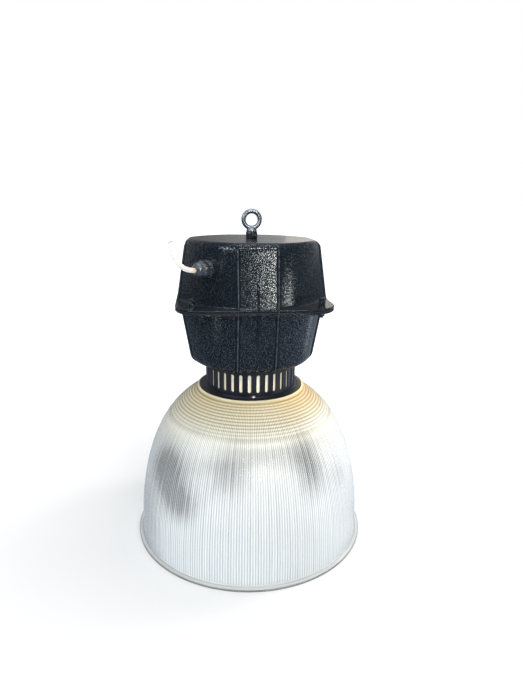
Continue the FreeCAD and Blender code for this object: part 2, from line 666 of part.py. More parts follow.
def standing_can(name, centre, radius, height, lid_height):
    """A can on the tray with a stud and nut below and an insulated lid with two tabs on top."""
    floor = "tray_level + tray_thick"
    x, y = centre
    top = f"{floor} + {height}"
    can = turned([("0", f"{floor} - 9"), ("3.95", f"{floor} - 9"), ("3.95", floor),
                  (f"{radius} - 1.5", floor), (radius, f"{floor} + 1.5"), (radius, top),
                  ("0", top)], x, y)
    node(can, f"{name}_can")
    cap = ring_disc(f"{radius} - 0.6", top, f"{top} + {lid_height}", x, y)
    tabs = [box(f"({x}) + {side} * 7 - 3.2", f"({x}) + {side} * 7 + 3.2", f"({y}) - 0.4",
                f"({y}) + 0.4", f"{top} + {lid_height}", f"{top} + {lid_height} + 7")
            for side in (-1, 1)]
    node(joined(cap, *tabs), f"{name}_terminals")
    node(nut("13", "3.95", f"{floor} - tray_thick - 6", f"{floor} - tray_thick", x, y), f"{name}_nut")


def ring_disc(radius, low, high, x, y):
    return turned([("0", low), (radius, low), (f"({radius})", f"({high}) - 1"),
                   (f"({radius}) - 1", high), ("0", high)], x, y)


def make_terminals():
    """A four-way terminal block with its clamp screws, and the tray's earth screw."""
    floor = "tray_level + tray_thick"
    block = box("-46", "12", "-71", "-53", floor, f"{floor} + 20")
    clamps = [(str(x), y) for x in WAYS for y in ("-66", "-58")]
    wells = [cylinder("2.6", f"{floor} + 10", f"{floor} + 21", x, y) for x, y in clamps]
    ways = [box(x - 3, x + 3, "-72", "-52", f"{floor} + 4", f"{floor} + 10.2") for x in WAYS]
    node(cut(block, joined(*wells, *ways)), "terminal_block")
    node(group([screw("2.4", "1.4", f"{floor} + 8.6", f"{floor} + 12", f"{floor} + 15", x, y)
                for x, y in clamps]), "terminal_screws")
    node(screw("3.6", "1.95", f"{floor} - 6", floor, f"{floor} + 2.6", *EARTH), "earth_screw")


def make_leads():
    """The insulated leads between the terminals, the gear and the lampholder."""
    floor = value("tray_level") + value("tray_thick")
    entry = gland_point(value("gland_out") - 22.4)
    along = Vector(math.sqrt(0.5), -math.sqrt(0.5), 0)
    starts = [entry - along * 1.6 - Vector(0, 0, 1.2), entry + along * 1.6 - Vector(0, 0, 1.2),
              entry + Vector(0, 0, 1.6)]
    mains = (("live_lead", WAYS[0]), ("neutral_lead", WAYS[1]), ("earth_lead", WAYS[3]))
    for start, (name, x) in zip(starts, mains):
        lead(name, [start, start - OUTWARD * 11 - Vector(0, 0, 3), Vector(x, -81, floor + 42),
                    Vector(x, -84, floor + 19), Vector(x, -71.5, floor + 7)])
    back = [Vector(x, -52.5, floor + 7) for x in WAYS]
    winding_top = value("tray_level + tray_thick + 1.5 + core_height + 7.8")
    can_top = floor + value("ignitor_height") + 13
    holder_top = value("holder_top") + 0.8
    lead("winding_lead", [back[0], Vector(-36, -40, floor + 14), Vector(-42, -16, floor + 48),
                          Vector(-40, 4, winding_top + 10), Vector(-38, 20, winding_top)])
    lead("holder_neutral_lead", [back[1], Vector(-19, -42, floor + 9), Vector(-9, -35.5, floor - 2),
                                 Vector(-8, -22, holder_top)])
    lead("ignitor_lead", [Vector(-65, -22, can_top), Vector(-60, -17, can_top + 9),
                          Vector(-40, 8, can_top + 6), Vector(-28, 26, winding_top)])
    lead("holder_live_lead", [Vector(-79, -22, can_top), Vector(-81, -34, can_top + 12),
                              Vector(-76, -47, floor + 76), Vector(-62, -46, floor + 28),
                              Vector(-40, -38, floor + 7), Vector(-14, -33, floor + 7),
                              Vector(1, -34.5, floor + 6), Vector(4, -34, floor - 4),
                              Vector(6, -22, holder_top)])
    cap_top = floor + value("capacitor_height") + 11
    lead("capacitor_lead", [back[2], Vector(-7, -44, floor + 10), Vector(20, -46, floor + 19),
                            Vector(29, -47, floor + 52), Vector(33, -45, floor + 82),
                            Vector(41, -38, cap_top + 8), Vector(49, -36, cap_top + 0.8)])
    lead("earth_bond_lead", [back[3], Vector(8, -43, floor + 8), Vector(20, -49, floor + 9),
                             Vector(24, -62, floor + 8), Vector(24, -74, floor + 4.2)])


def lead(label, points):
    """An insulated lead of the gear's usual thickness."""
    return tube(label, points, 1.3)


# ---------------------------------------------------------------- lampholder and lamp
def make_lampholder():
    """Porcelain body, threaded shell, sprung centre contact and the bracket under the tray."""
    mouth, top = "holder_mouth", "holder_top"
    body = turned([("22.4", mouth), ("holder_radius", mouth), ("holder_radius", f"{mouth} + 40"),
                   ("27", f"{mouth} + 46"), ("27", top), ("6.5", top), ("6.5", f"{top} - 12"),
                   ("22.4", f"{top} - 12")])
    bolts = [("-18", "0"), ("18", "0")]
    node(cut(body, group([cylinder("2", f"{top} - 7", f"{top} + 1", x, y) for x, y in bolts])),
         "lampholder_body")
    node(turned([("thread_bore", f"{mouth} + 4"), ("22.2", f"{mouth} + 4"), ("22.2", f"{top} - 13"),
                 ("9", f"{top} - 13"), ("9", f"{top} - 13.8"), ("thread_bore", f"{top} - 13.8")]),
         "lampholder_shell")
    node(turned([("0", "eyelet_level + 0.15"), ("4", "eyelet_level + 0.15"),
                 ("5", "eyelet_level + 1.2"), ("5", "eyelet_level + 2.6"),
                 ("2.4", "eyelet_level + 2.6"), ("2.4", f"{top} - 6"), ("0", f"{top} - 6")]),
         "centre_contact")
    node(ring("3", "4.6", "eyelet_level + 2.6", f"{top} - 1.6"), "contact_spring")
    plate = box("-26", "26", "-16", "16", top, f"{top} + 1.5")
    legs = [box(f"{side} * 25.25 - 0.75", f"{side} * 25.25 + 0.75", "-16", "16", top, "tray_level")
            for side in (-1, 1)]
    feet = [box(f"{side} * 33 - 8.5", f"{side} * 33 + 8.5", "-16", "16", "tray_level - 1.5",
                "tray_level") for side in (-1, 1)]
    rivets = [("-36", "0"), ("36", "0")]
    holes = [cylinder("2.2", f"{top} - 1", f"{top} + 3", x, y) for x, y in bolts]
    holes += [cylinder("2.2", "tray_level - 3", "tray_level + 1", x, y) for x, y in rivets]
    node(cut(joined(plate, *legs, *feet), group(holes)), "lampholder_bracket")
    node(group([screw("3.8", "1.95", f"{top} - 6", f"{top} + 1.5", f"{top} + 4.1", x, y)
                for x, y in bolts]), "lampholder_screws")


def make_lamp():
    """A clear tubular discharge lamp with an E40 cap, hanging cap up."""
    glass, wall = value("glass_radius"), value("glass_wall")
    tip, neck = value("lamp_tip"), value("cap_bottom")
    node(turned([("17.6", "cap_bottom"), ("cap_radius", "cap_bottom"), ("cap_radius", "cap_top - 3"),
                 ("14", "cap_top"), ("12.6", "cap_top"), ("17.6", "cap_top - 5")]), "lamp_cap")
    node(turned([("4.2", "cap_top - 0.6"), ("12.4", "cap_top - 0.6"), ("12.4", "cap_top"),
                 ("6", "eyelet_level - 1.2"), ("4.2", "eyelet_level - 1.2")]), "lamp_cap_insulator")
    node(turned([("0", "cap_top"), ("4", "cap_top"), ("4", "eyelet_level - 1.2"),
                 ("5.5", "eyelet_level - 1.2"), ("4", "eyelet_level"), ("0", "eyelet_level")]),
         "lamp_eyelet")

    def tube_face(inset):
        radius, low = glass - inset, tip + inset
        dome = Part.Arc(Vector(0, 0, low), Vector(radius * math.sin(math.pi / 4), 0,
                                                   low + radius * (1 - math.cos(math.pi / 4))),
                        Vector(radius, 0, low + radius)).toShape()
        top = neck - inset
        edges = [dome, Part.makeLine(Vector(radius, 0, low + radius), Vector(radius, 0, neck - 16)),
                 Part.makeLine(Vector(radius, 0, neck - 16), Vector(17.2 - inset, 0, neck - 3)),
                 Part.makeLine(Vector(17.2 - inset, 0, neck - 3), Vector(17.2 - inset, 0, top)),
                 Part.makeLine(Vector(17.2 - inset, 0, top), Vector(0, 0, top)),
                 Part.makeLine(Vector(0, 0, top), Vector(0, 0, low))]
        return Part.Face(Part.Wire(edges)).revolve(Vector(), Vector(0, 0, 1), 360)

    bulb = doc.addObject("Part::Feature", "Bulb")
    bulb.Shape = tube_face(0).cut(tube_face(wall))
    node(bulb, "lamp_glass")
    half = "arc_tube_length / 2"
    node(turned([("0", f"light_centre - {half}"), ("2.2", f"light_centre - {half}"),
                 ("arc_tube_radius", f"light_centre - {half} + 5"),
                 ("arc_tube_radius", f"light_centre + {half} - 5"),
                 ("2.2", f"light_centre + {half}"), ("0", f"light_centre + {half}")]), "arc_tube")
    side = 9.0
    high, low = neck - wall, value("light_centre") - value("arc_tube_length") / 2
    frame_wire = [Vector(side, 0, high), Vector(side, 0, 270), Vector(side + 6, 0, 250),
                  Vector(side + 6, 0, 172), Vector(side, 0, 150), Vector(0, 0, 140), Vector(0, 0, low)]
    tube("lamp_frame", frame_wire, 0.9)
    tube("lamp_lead_in", [Vector(-side, 0, high), Vector(-side, 0, 290), Vector(0, 0, 276),
                          Vector(0, 0, value("light_centre") + value("arc_tube_length") / 2)], 0.9)


make_shade()
make_collar()
make_shade_clamp()
make_collar_screws()
make_lower_housing()
make_upper_housing()
make_housing_seam()
make_eye()
make_gland()
make_mains_cable()
make_tray()
make_ballast()
standing_can("capacitor", CAPACITOR, "capacitor_radius", "capacitor_height", "4")
standing_can("ignitor", IGNITOR, "ignitor_radius", "ignitor_height", "6")
make_terminals()
make_leads()
make_lampholder()
make_lamp()

doc.recompute()
failed = [f"{obj.Name} {obj.Label}: {obj.State}" for obj in doc.Objects
          if "Invalid" in obj.State or "Error" in obj.State]
failed += [obj.Label for obj in nodes if obj.Shape.isNull() or not obj.Shape.isValid()]
if failed:
    raise SystemExit("these objects failed: " + "; ".join(failed))
os.makedirs("parts", exist_ok=True)
for obj in nodes:
    obj.Shape.exportStep(f"parts/{obj.Label}.step")
    solids = len(obj.Shape.Solids)
    print(f"{obj.Label}: {solids} solid(s), {obj.Shape.Volume / 1000:.2f} cm3")
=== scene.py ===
"""The looks of the grow lamp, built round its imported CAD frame. Everything is in metres."""
import json
import math

import bmesh
import bpy
import numpy as np
from mathutils import Matrix, Quaternion, Vector


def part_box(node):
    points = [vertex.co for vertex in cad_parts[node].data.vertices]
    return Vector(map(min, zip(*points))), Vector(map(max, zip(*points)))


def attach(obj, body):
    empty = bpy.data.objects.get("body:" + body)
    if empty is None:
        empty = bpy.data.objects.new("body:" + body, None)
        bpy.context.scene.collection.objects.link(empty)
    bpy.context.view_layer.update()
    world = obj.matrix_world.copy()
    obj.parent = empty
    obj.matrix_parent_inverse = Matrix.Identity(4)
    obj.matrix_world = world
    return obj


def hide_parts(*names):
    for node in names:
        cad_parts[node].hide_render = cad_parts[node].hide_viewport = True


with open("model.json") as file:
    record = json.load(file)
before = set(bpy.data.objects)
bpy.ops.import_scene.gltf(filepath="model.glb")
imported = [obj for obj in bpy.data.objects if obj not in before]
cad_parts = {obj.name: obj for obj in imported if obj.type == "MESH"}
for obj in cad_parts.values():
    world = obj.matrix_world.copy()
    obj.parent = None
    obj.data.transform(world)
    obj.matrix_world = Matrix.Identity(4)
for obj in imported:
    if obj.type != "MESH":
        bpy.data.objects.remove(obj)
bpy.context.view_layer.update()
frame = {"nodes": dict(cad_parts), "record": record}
MM = 0.001

# Sizes read from the frame.
shade_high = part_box("prismatic_shade")[1]
collar_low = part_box("vented_collar")[0]
lower_low, lower_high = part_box("lower_housing")
upper_low, upper_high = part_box("upper_housing")
screws_low, screws_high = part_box("housing_screws")
nut_low, nut_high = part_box("eye_lock_nut")
eye_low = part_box("eye_bolt")[0]

RIM_RADIUS = shade_high.x
FLANGE_HALF = lower_high.x
SEAM = lower_high.z
LID_BASE = upper_low.z
LID_TOP = upper_high.z

# Shapes that the CAD draws with formulas, repeated here.
WALL_RADIUS, DOME_HEIGHT, DOME_BELLY, DOME_CROWN = 197.4 * MM, 282 * MM, 2.25, 2.8
SHADE_WALL, LIP_HEIGHT = 3 * MM, 4 * MM
SHOULDER_RADIUS, SHOULDER_LEVEL = 94 * MM, collar_low.z
NECK_OUTER = 73 * MM
FLUTES, SLOTS, SLOT_TURN = 288, 34, math.radians(4)
FLAT_HALF, CHAMFER_BULGE, SHELL_WALL = 31 * MM, 9.5 * MM, 3 * MM
RIB_AT, RIB_WIDTH, RIB_STAND = 30 * MM, 2.4 * MM, 2.6 * MM
FLANGE_PLATE, LOWER_PLATE, FLANGE_CORNER = 4 * MM, 3 * MM, 52 * MM
SCREW_X, SCREW_Y = 98 * MM, 108 * MM
GLAND_LEVEL, GLAND_OUT, GLAND_SIDE = 483 * MM, 112.5 * MM, 8 * MM

# The cable's route, the same points as the CAD tube's.
CABLE_ROUTE = [(-0.09334, -0.10465, 0.48300), (-0.10286, -0.11417, 0.48489), (-0.11150, -0.12282, 0.49085),
               (-0.11830, -0.12962, 0.50047), (-0.12252, -0.13383, 0.51269), (-0.12386, -0.13517, 0.52616)]
CABLE_RADIUS = 3.75 * MM


# ---- mesh helpers
def new_object(name, data):
    """An object in the scene."""
    obj = bpy.data.objects.new(name, data)
    bpy.context.scene.collection.objects.link(obj)
    return obj


def outward_faces(mesh, weld=False):
    """Turns the faces outward, after welding points that coincide if asked."""
    work = bmesh.new()
    work.from_mesh(mesh)
    if weld:
        bmesh.ops.remove_doubles(work, verts=work.verts, dist=1e-6)
    bmesh.ops.recalc_face_normals(work, faces=work.faces)
    work.to_mesh(mesh)
    work.free()


def mesh_object(name, vertices, faces, sharp=40):
    """A mesh object with smooth faces, and sharp edges where it turns by more than an angle."""
    mesh = bpy.data.meshes.new(name)
    mesh.from_pydata([tuple(v) for v in vertices], [], [tuple(f) for f in faces])
    mesh.update()
    outward_faces(mesh)
    mesh.shade_smooth()
    mesh.set_sharp_from_angle(angle=math.radians(sharp))
    return new_object(name, mesh)


def grid_faces(rows, columns):
    """Faces between rings of points, the last ring joined to the first."""
    i, j = np.meshgrid(np.arange(rows), np.arange(columns), indexing="ij")
    below, beside = (i + 1) % rows, (j + 1) % columns
    quads = [i * columns + j, i * columns + beside, below * columns + beside, below * columns + j]
    return np.stack(quads, -1).reshape(-1, 4)


def in_mm(points, base=0.0):
    """(radius, height) points given in millimetres, as metres above a base level."""
    return [(radius * MM, base + z * MM) for radius, z in points]


def rounded(points, radius, steps=3):
    """A closed (radius, height) outline with each corner rounded by an arc."""
    result = []
    for i, corner in enumerate(points):
        corner = Vector(corner)
        back = Vector(points[i - 1]) - corner
        ahead = Vector(points[(i + 1) % len(points)]) - corner
        straight = abs(back.normalized().dot(ahead.normalized())) > 0.999
        reach = min(radius, back.length * 0.4, ahead.length * 0.4)
        if straight or corner.x < 1e-6:
            result.append(tuple(corner))
            continue
        start, end = corner + back.normalized() * reach, corner + ahead.normalized() * reach
        for k in range(steps + 1):
            t = k / steps
            point = start * (1 - t) ** 2 + corner * (2 * t * (1 - t)) + end * t ** 2
            result.append(tuple(point))
    return result


def circle_points(reach, angles, z):
    """Points at a reach, or each at its own, in the directions of some angles at a level."""
    return np.column_stack([reach * np.cos(angles), reach * np.sin(angles), np.full(len(angles), z)])


def ring_solid(name, rings, sharp):
    """A closed surface through rings of equal length, the last joined to the first."""
    obj = mesh_object(name, np.concatenate(rings), grid_faces(len(rings), len(rings[0])), sharp)
    outward_faces(obj.data, weld=True)
    return obj


def lathe(name, profile, segments=96, shape=None, matrix=None, sharp=40):
    """A solid turned about Z from a closed profile, then moved by a matrix.

    shape(angles, radius, z) gives the radius at each angle where it isn't the profile's own.
    """
    angles = np.arange(segments) * 2 * math.pi / segments
    rings = [circle_points(shape(angles, radius, z) if shape else radius, angles, z)
             for radius, z in profile]
    obj = ring_solid(name, rings, sharp)
    if matrix is not None:
        obj.data.transform(matrix)
    return obj


def tube(name, inner, outer, low, high, soft, segments, matrix=None):
    """A turned ring or rod with rounded edges, its sizes given in millimetres."""
    outline = in_mm([(inner, low), (outer, low), (outer, high), (inner, high)])
    return lathe(name, rounded(outline, soft * MM), segments, matrix=matrix)


def joined(name, objects):
    """One object out of several."""
    work = bmesh.new()
    for obj in objects:
        work.from_mesh(obj.data)
        bpy.data.objects.remove(obj)
    mesh = bpy.data.meshes.new(name)
    work.to_mesh(mesh)
    work.free()
    return new_object(name, mesh)


def corners(x, y):
    """The moves to four places, one in each quarter."""
    return [Matrix.Translation((sx * x, sy * y, 0)) for sx in (-1, 1) for sy in (-1, 1)]


def hexagonal(across_flats):
    """A lathe shape that keeps a radius inside a hexagon, for radii larger than its flats."""
    apothem = across_flats / 2

    def shape(angles, radius, z):
        fold = (angles + math.pi / 6) % (math.pi / 3) - math.pi / 6
        return np.minimum(radius, apothem / np.cos(fold))
    return shape


def apply_modifiers(obj):
    """Replaces the object's mesh with what its modifiers make of it."""
    bpy.context.view_layer.update()
    depsgraph = bpy.context.evaluated_depsgraph_get()
    mesh = bpy.data.meshes.new_from_object(obj.evaluated_get(depsgraph))
    obj.modifiers.clear()
    obj.data = mesh
    return obj


def finish_piece(obj, slot, *replaced, body="fixture"):
    """Gives a piece the material of a slot and a body, and hides the CAD nodes that it stands for."""
    obj.data.materials.clear()
    obj.data.materials.append(MATERIALS[slot])
    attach(obj, body)
    if replaced:
        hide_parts(*replaced)
    return obj


# ---- materials
class Nodes:
    """A small writer of node trees, for a new material or for the world."""

    def __init__(self, name, owner=None):
        self.owner = owner or bpy.data.materials.new(name)
        self.owner.use_nodes = True
        self.tree = self.owner.node_tree
        self.shader = self.tree.nodes.get("Principled BSDF")
        self.place = self.add("TexCoord").outputs
        self.position = self.place["Object"]

    def add(self, kind, **settings):
        """Adds a node of a shader kind."""
        made = self.tree.nodes.new("ShaderNode" + kind)
        for key, setting in settings.items():
            setattr(made, key, setting)
        return made

    def link(self, source, target):
        self.tree.links.new(source, target)

    def put(self, socket, item):
        """Sets a socket to a number, a vector or a colour, or links it to another node's output."""
        if isinstance(item, (int, float)):
            socket.default_value = item
        elif isinstance(item, tuple):
            socket.default_value = (*item, 1) if socket.type == "RGBA" else item
        else:
            self.link(item, socket)

    def make(self, kind, output, inputs, **settings):
        """Adds a node with its inputs set or linked, and returns one of its outputs."""
        made = self.add(kind, **settings)
        for key, item in inputs.items():
            self.put(made.inputs[key], item)
        return made.outputs[output]

    def noise(self, scale, detail=3.0, roughness=0.55, vector=None):
        inputs = {"Scale": scale, "Detail": detail, "Roughness": roughness}
        return self.make("TexNoise", "Fac", {**inputs, "Vector": vector or self.position})

    def cells(self, scale, vector):
        """The distance from the middle of the nearest of many uneven cells."""
        return self.make("TexVoronoi", "Distance", {"Scale": scale, "Vector": vector},
                         feature="SMOOTH_F1")

    def bands(self, direction, scale, distortion):
        """Light and dark bands along an axis."""
        inputs = {"Scale": scale, "Distortion": distortion, "Vector": self.position}
        return self.make("TexWave", "Fac", inputs, bands_direction=direction)

    def ramp(self, value, stops):
        """Maps a value from 0 to 1 through (place, colour) stops. A number is a grey."""
        made = self.add("ValToRGB")
        elements = made.color_ramp.elements
        while len(elements) < len(stops):
            elements.new(0.5)
        for element, (place, colour) in zip(elements, stops):
            element.position = place
            element.color = (*colour, 1) if isinstance(colour, tuple) else (colour, colour, colour, 1)
        self.link(value, made.inputs["Fac"])
        return made.outputs["Color"]

    def span(self, value, low, high, from_low=0.0, from_high=1.0):
        """Takes the range from_low to from_high to the range low to high, and holds it there."""
        return self.make("MapRange", "Result", {
            "Value": value, "From Min": from_low, "From Max": from_high, "To Min": low, "To Max": high})

    def sum(self, a, b, operation="ADD"):
        return self.make("Math", "Value", {0: a, 1: b}, operation=operation)

    def times(self, a, b):
        return self.sum(a, b, "MULTIPLY")

    def most(self, a, b):
        return self.sum(a, b, "MAXIMUM")

    def vector(self, operation, inputs, output="Vector"):
        return self.make("VectorMath", output, inputs, operation=operation)

    def mix(self, factor, a, b):
        return self.make("Mix", "Result", {"Factor": factor, "A": a, "B": b}, data_type="RGBA")

    def axes(self, vector=None):
        """The X, Y and Z of a vector, which is the position in metres unless another is given."""
        made = self.add("SeparateXYZ")
        self.link(vector or self.position, made.inputs["Vector"])
        return made.outputs

    def facing_up(self):
        """1 on a surface that faces up, 0 on an upright one."""
        return self.axes(self.add("NewGeometry").outputs["Normal"])["Z"]

    def rib_lines(self, beside, half, rib_at=RIB_AT):
        """1 on lines along the ribs of all four sides, falling to 0 over a half width.

        The lines run beside each rib's middle. Both widths are in millimetres, rib_at in metres.
        """
        place, found = self.axes(), []
        for across in (place["X"], place["Y"]):
            for offset in (0.0, rib_at, beside * MM):
                across = self.sum(self.sum(across, offset, "SUBTRACT"), 0.0, "ABSOLUTE")
            found.append(self.span(across, 1.0, 0.0, half * MM * 0.4, half * MM))
        return self.most(*found)

    def bump(self, height, distance, strength=1.0, edge=0.0):
        """Bumps the surface, over edges softened by a radius."""
        inputs = {"Distance": distance, "Strength": strength, "Height": height}
        if edge:
            inputs["Normal"] = self.make("Bevel", "Normal", {"Radius": edge}, samples=4)
        self.link(self.make("Bump", "Normal", inputs), self.shader.inputs["Normal"])

    def set(self, **sockets):
        """Sets or links shader sockets; underscores stand for spaces."""
        for key, item in sockets.items():
            self.put(self.shader.inputs[key.replace("_", " ")], item)
        return self.owner

    def clear_shadow(self, tint=(1.0, 1.0, 1.0)):
        """Lets light through to what lies behind, tinted, instead of a full shadow."""
        clear = self.make("BsdfTransparent", "BSDF", {"Color": tint})
        path = self.add("LightPath").outputs
        self.surface(self.make("MixShader", "Shader", {
            "Fac": path["Is Shadow Ray"], 1: self.shader.outputs["BSDF"], 2: clear}))
        return self.owner

    def surface(self, shader):
        self.link(shader, self.tree.nodes["Material Output"].inputs["Surface"])


def hammered_paint():
    """Blue-black hammered powder coat: shallow cells, a painted highlight along the rib crests, a little
    dust on top.
    """
    n = Nodes("hammered_paint")
    cell_scale, peel_scale, wander_scale, wander_reach = 680, 1500, 260, 0.0018
    wander = n.make("TexNoise", "Color", {"Scale": wander_scale, "Vector": n.position})
    shift = n.vector("SCALE", {0: wander, "Scale": wander_reach})
    cells = n.cells(cell_scale, n.vector("ADD", {0: n.position, 1: shift}))
    n.bump(n.sum(cells, n.times(n.noise(peel_scale, 2), 0.16)), 0.00007, 1.0, edge=0.0007)

    tone = n.ramp(n.noise(9, 4), [(0.3, (0.0040, 0.0070, 0.0098)), (0.7, (0.0075, 0.0112, 0.0162))])
    tone = n.mix(n.span(cells, 0.85, 0.0, 0.12, 0.42), tone, (0.032, 0.041, 0.054))
    up, level = n.facing_up(), n.axes()["Z"]
    upright = n.span(up, 1.0, 0.0, 0.3, 0.5)
    crest = n.rib_lines(0.0, 1.3)
    short_foot, short_top = (0.358, 0.368), (0.452, 0.458)  # levels at which the middle rib fades
    short = n.times(n.span(level, 0.0, 1.0, *short_foot), n.span(level, 1.0, 0.0, *short_top))
    fillet = n.most(n.rib_lines(2.4, 1.5), n.times(n.rib_lines(1.2, 1.2, 0.0), short))
    # Painted highlight: the rib crests are made lighter on upright faces, broken up by noise.
    painted_crest_highlight = n.times(n.times(crest, upright), n.span(n.noise(120, 4), 0.1, 0.8, 0.35, 0.65))
    tone = n.mix(painted_crest_highlight, tone, (0.085, 0.105, 0.125))
    dust = n.times(n.span(up, 0.0, 0.10, 0.8, 1.0), n.span(n.noise(34, 5), 0.2, 1.0, 0.35, 0.7))
    tone = n.mix(dust, tone, (0.16, 0.15, 0.135))
    rough = n.sum(n.span(n.noise(16, 4), 0.11, 0.16), n.times(dust, 0.6))
    shine = n.times(n.span(cells, 1.3, 0.06, 0.18, 0.42), n.span(n.times(fillet, upright), 1.0, 0.05))
    return n.set(Base_Color=tone, Roughness=rough, Specular_IOR_Level=shine,
                 Specular_Tint=(0.88, 0.95, 1.0))


def satin_black(name, colour, grain=900, low=0.28, high=0.45, shine=0.5):
    """Satin black coat or moulded polymer with a fine grain and handling marks."""
    n = Nodes(name)
    marks = n.noise(45, 6, 0.65)
    lighter = tuple(c * 2.4 + 0.002 for c in colour)
    tone = n.mix(n.span(marks, 0.0, 0.7, 0.45, 0.85), colour, lighter)
    n.bump(n.sum(n.noise(grain, 3), n.noise(grain * 0.12, 2)), 0.00012, 0.5, 0.0004)
    return n.set(Base_Color=tone, Roughness=n.span(marks, low, high, 0.3, 0.7), Specular_IOR_Level=shine)


def metal(name, colour, low, high, brushed=None, grain=700, edge=0.0003, tarnish=(0.20, 0.17, 0.13),
          depth=0.00006):
    """Bare or plated metal, with brushing along an axis if asked, stains and soft edges."""
    n = Nodes(name)
    vector = n.vector("MULTIPLY", {0: n.position, 1: brushed}) if brushed else n.position
    lines = n.noise(grain, 4, 0.6, vector)
    stain = n.noise(60, 6, 0.6)
    tone = n.mix(n.span(stain, 0.0, 0.35, 0.5, 0.85), colour, tarnish)
    tone = n.mix(n.span(lines, 0.0, 0.25, 0.3, 0.8), tone, tuple(c * 0.75 for c in colour))
    n.bump(lines, depth, 0.35, edge)
    return n.set(Base_Color=tone, Metallic=1.0, Roughness=n.span(n.sum(lines, stain), low, high, 0.6, 1.4))


def plastic(name, colour, low=0.35, high=0.55, grain=600, depth=0.00008, edge=0.0003, subsurface=0.0):
    """Moulded plastic or rubber with a fine grain, faint marks and slight colour changes."""
    n = Nodes(name)
    marks = n.noise(55, 5)
    darker = tuple(c * 0.82 for c in colour)
    tone = n.mix(n.span(marks, 0.0, 1.0, 0.35, 0.75), colour, darker)
    n.bump(n.noise(grain, 3), depth, 0.5, edge)
    n.set(Base_Color=tone, Roughness=n.span(marks, low, high, 0.3, 0.7))
    if subsurface:
        n.set(Subsurface_Weight=subsurface, Subsurface_Scale=0.002)
    return n.owner


def prismatic_acrylic():
    """Clear acrylic, yellowed by heat near the neck, with scratches, and with painted light and shade in
    its prisms.
    """
    n = Nodes("prismatic_acrylic")
    # Levels, and for lip_span distances from the axis, in metres.
    ramp_top, lip_span, lip_top = 0.31, (0.195, 0.205), (0.0050, 0.0085)
    painted_glow_side, painted_glow_level, painted_neck_glow = (0.02, 0.10), (0.236, 0.266), (0.2705, 0.2745)
    place = n.axes()
    blotch = n.noise(11, 4)
    level = n.sum(place["Z"], n.span(blotch, -0.010, 0.010))

    def by_height(value, stops):
        return n.ramp(n.span(value, 0.0, 1.0, 0.0, ramp_top), stops)

    tone = by_height(level, [
        (0.00, (0.80, 0.825, 0.83)), (0.30, (0.84, 0.86, 0.865)), (0.50, (0.93, 0.94, 0.945)),
        (0.66, (0.96, 0.96, 0.93)), (0.74, (0.93, 0.91, 0.81)), (0.84, (0.92, 0.875, 0.68)),
        (0.88, (0.93, 0.84, 0.56)), (1.00, (0.96, 0.94, 0.82))])
    # Painted warm light: amber is mixed into the crown on the +X side only, for the warm light that falls
    # there.
    warm = n.times(n.span(place["X"], 0.0, 0.62, *painted_glow_side), n.span(place["Z"], 0.0, 1.0, *painted_glow_level))
    tone = n.mix(warm, tone, (0.96, 0.66, 0.26))

    root = n.make("Attribute", "Fac", {}, attribute_name="prism_root")
    # Painted refraction: dark patches in the prism roots, for what is seen through the prisms.
    painted_refraction = n.make("Attribute", "Fac", {}, attribute_name="painted_seen_through")
    painted_refraction = n.sum(painted_refraction, n.span(n.noise(14, 3), -0.25, 0.25))
    painted_patch_share = n.times(n.span(painted_refraction, 0.0, 1.0, 0.15, 1.0), n.span(root, 0.42, 1.0))
    tone = n.mix(painted_patch_share, tone, (0.02, 0.021, 0.021))

    flat = n.vector("MULTIPLY", {0: n.position, 1: (1, 1, 0)})
    out = n.vector("LENGTH", {0: flat}, "Value")
    # Painted shade: thin dark lines along the edges of the lip, near the floor.
    lip = n.ramp(n.span(out, 0.0, 1.0, *lip_span), [
        (0.0, 0.0), (0.22, 0.25), (0.34, 0.75), (0.48, 0.15), (0.86, 0.12), (0.96, 0.80)])
    tone = n.mix(n.times(lip, n.span(place["Z"], 1.0, 0.0, *lip_top)), tone, (0.24, 0.22, 0.17))
    # Painted shade: the shade is darker where its surface turns away from the view, along its outline.
    rim = n.make("LayerWeight", "Facing", {"Blend": 0.35})
    tone = n.mix(n.span(rim, 0.0, 0.55, 0.62, 1.0), tone, (0.42, 0.46, 0.43))
    # Painted shade: the prism roots are darkened, nearly black at mid height and brown in the crown, for
    # the lines that the prisms show.
    painted_root_shade = by_height(level, [
        (0.0, (0.16, 0.19, 0.20)), (0.40, (0.09, 0.10, 0.11)), (0.60, (0.025, 0.027, 0.027)),
        (0.76, (0.13, 0.10, 0.04)), (0.86, (0.25, 0.14, 0.035)), (1.0, (0.62, 0.55, 0.40))])
    tone = n.mix(n.span(root, 0.0, 0.9), tone, painted_root_shade)

    n.bump(n.noise(900, 4, 0.6), 0.00004, 0.3)
    rough = n.span(n.sum(blotch, n.noise(70, 4)), 0.14, 0.22, 0.7, 1.3)
    through = by_height(place["Z"], [(0.0, 0.62), (0.68, 0.66), (0.76, 0.50), (0.86, 0.45), (0.92, 0.10)])
    # The emission is painted light: the neck inside the collar glows faintly, for light carried by the
    # acrylic behind the slots.
    n.set(Base_Color=tone, Roughness=rough, Transmission_Weight=through, IOR=1.32, Specular_IOR_Level=0.8,
          Emission_Color=(1.0, 0.985, 0.88), Emission_Strength=n.span(place["Z"], 0.0, 0.30, *painted_neck_glow))
    return n.clear_shadow((0.80, 0.82, 0.83))


def clear_glass():
    """Thin hard glass of the lamp, with faint smears."""
    n = Nodes("lamp_hard_glass")
    smear = n.noise(40, 5)
    n.bump(n.noise(120, 3), 0.00002, 0.3)
    n.set(Base_Color=n.mix(smear, (0.97, 0.98, 0.98), (0.94, 0.95, 0.94)), Transmission_Weight=1.0,
          IOR=1.47, Roughness=n.span(smear, 0.01, 0.06))
    return n.clear_shadow()


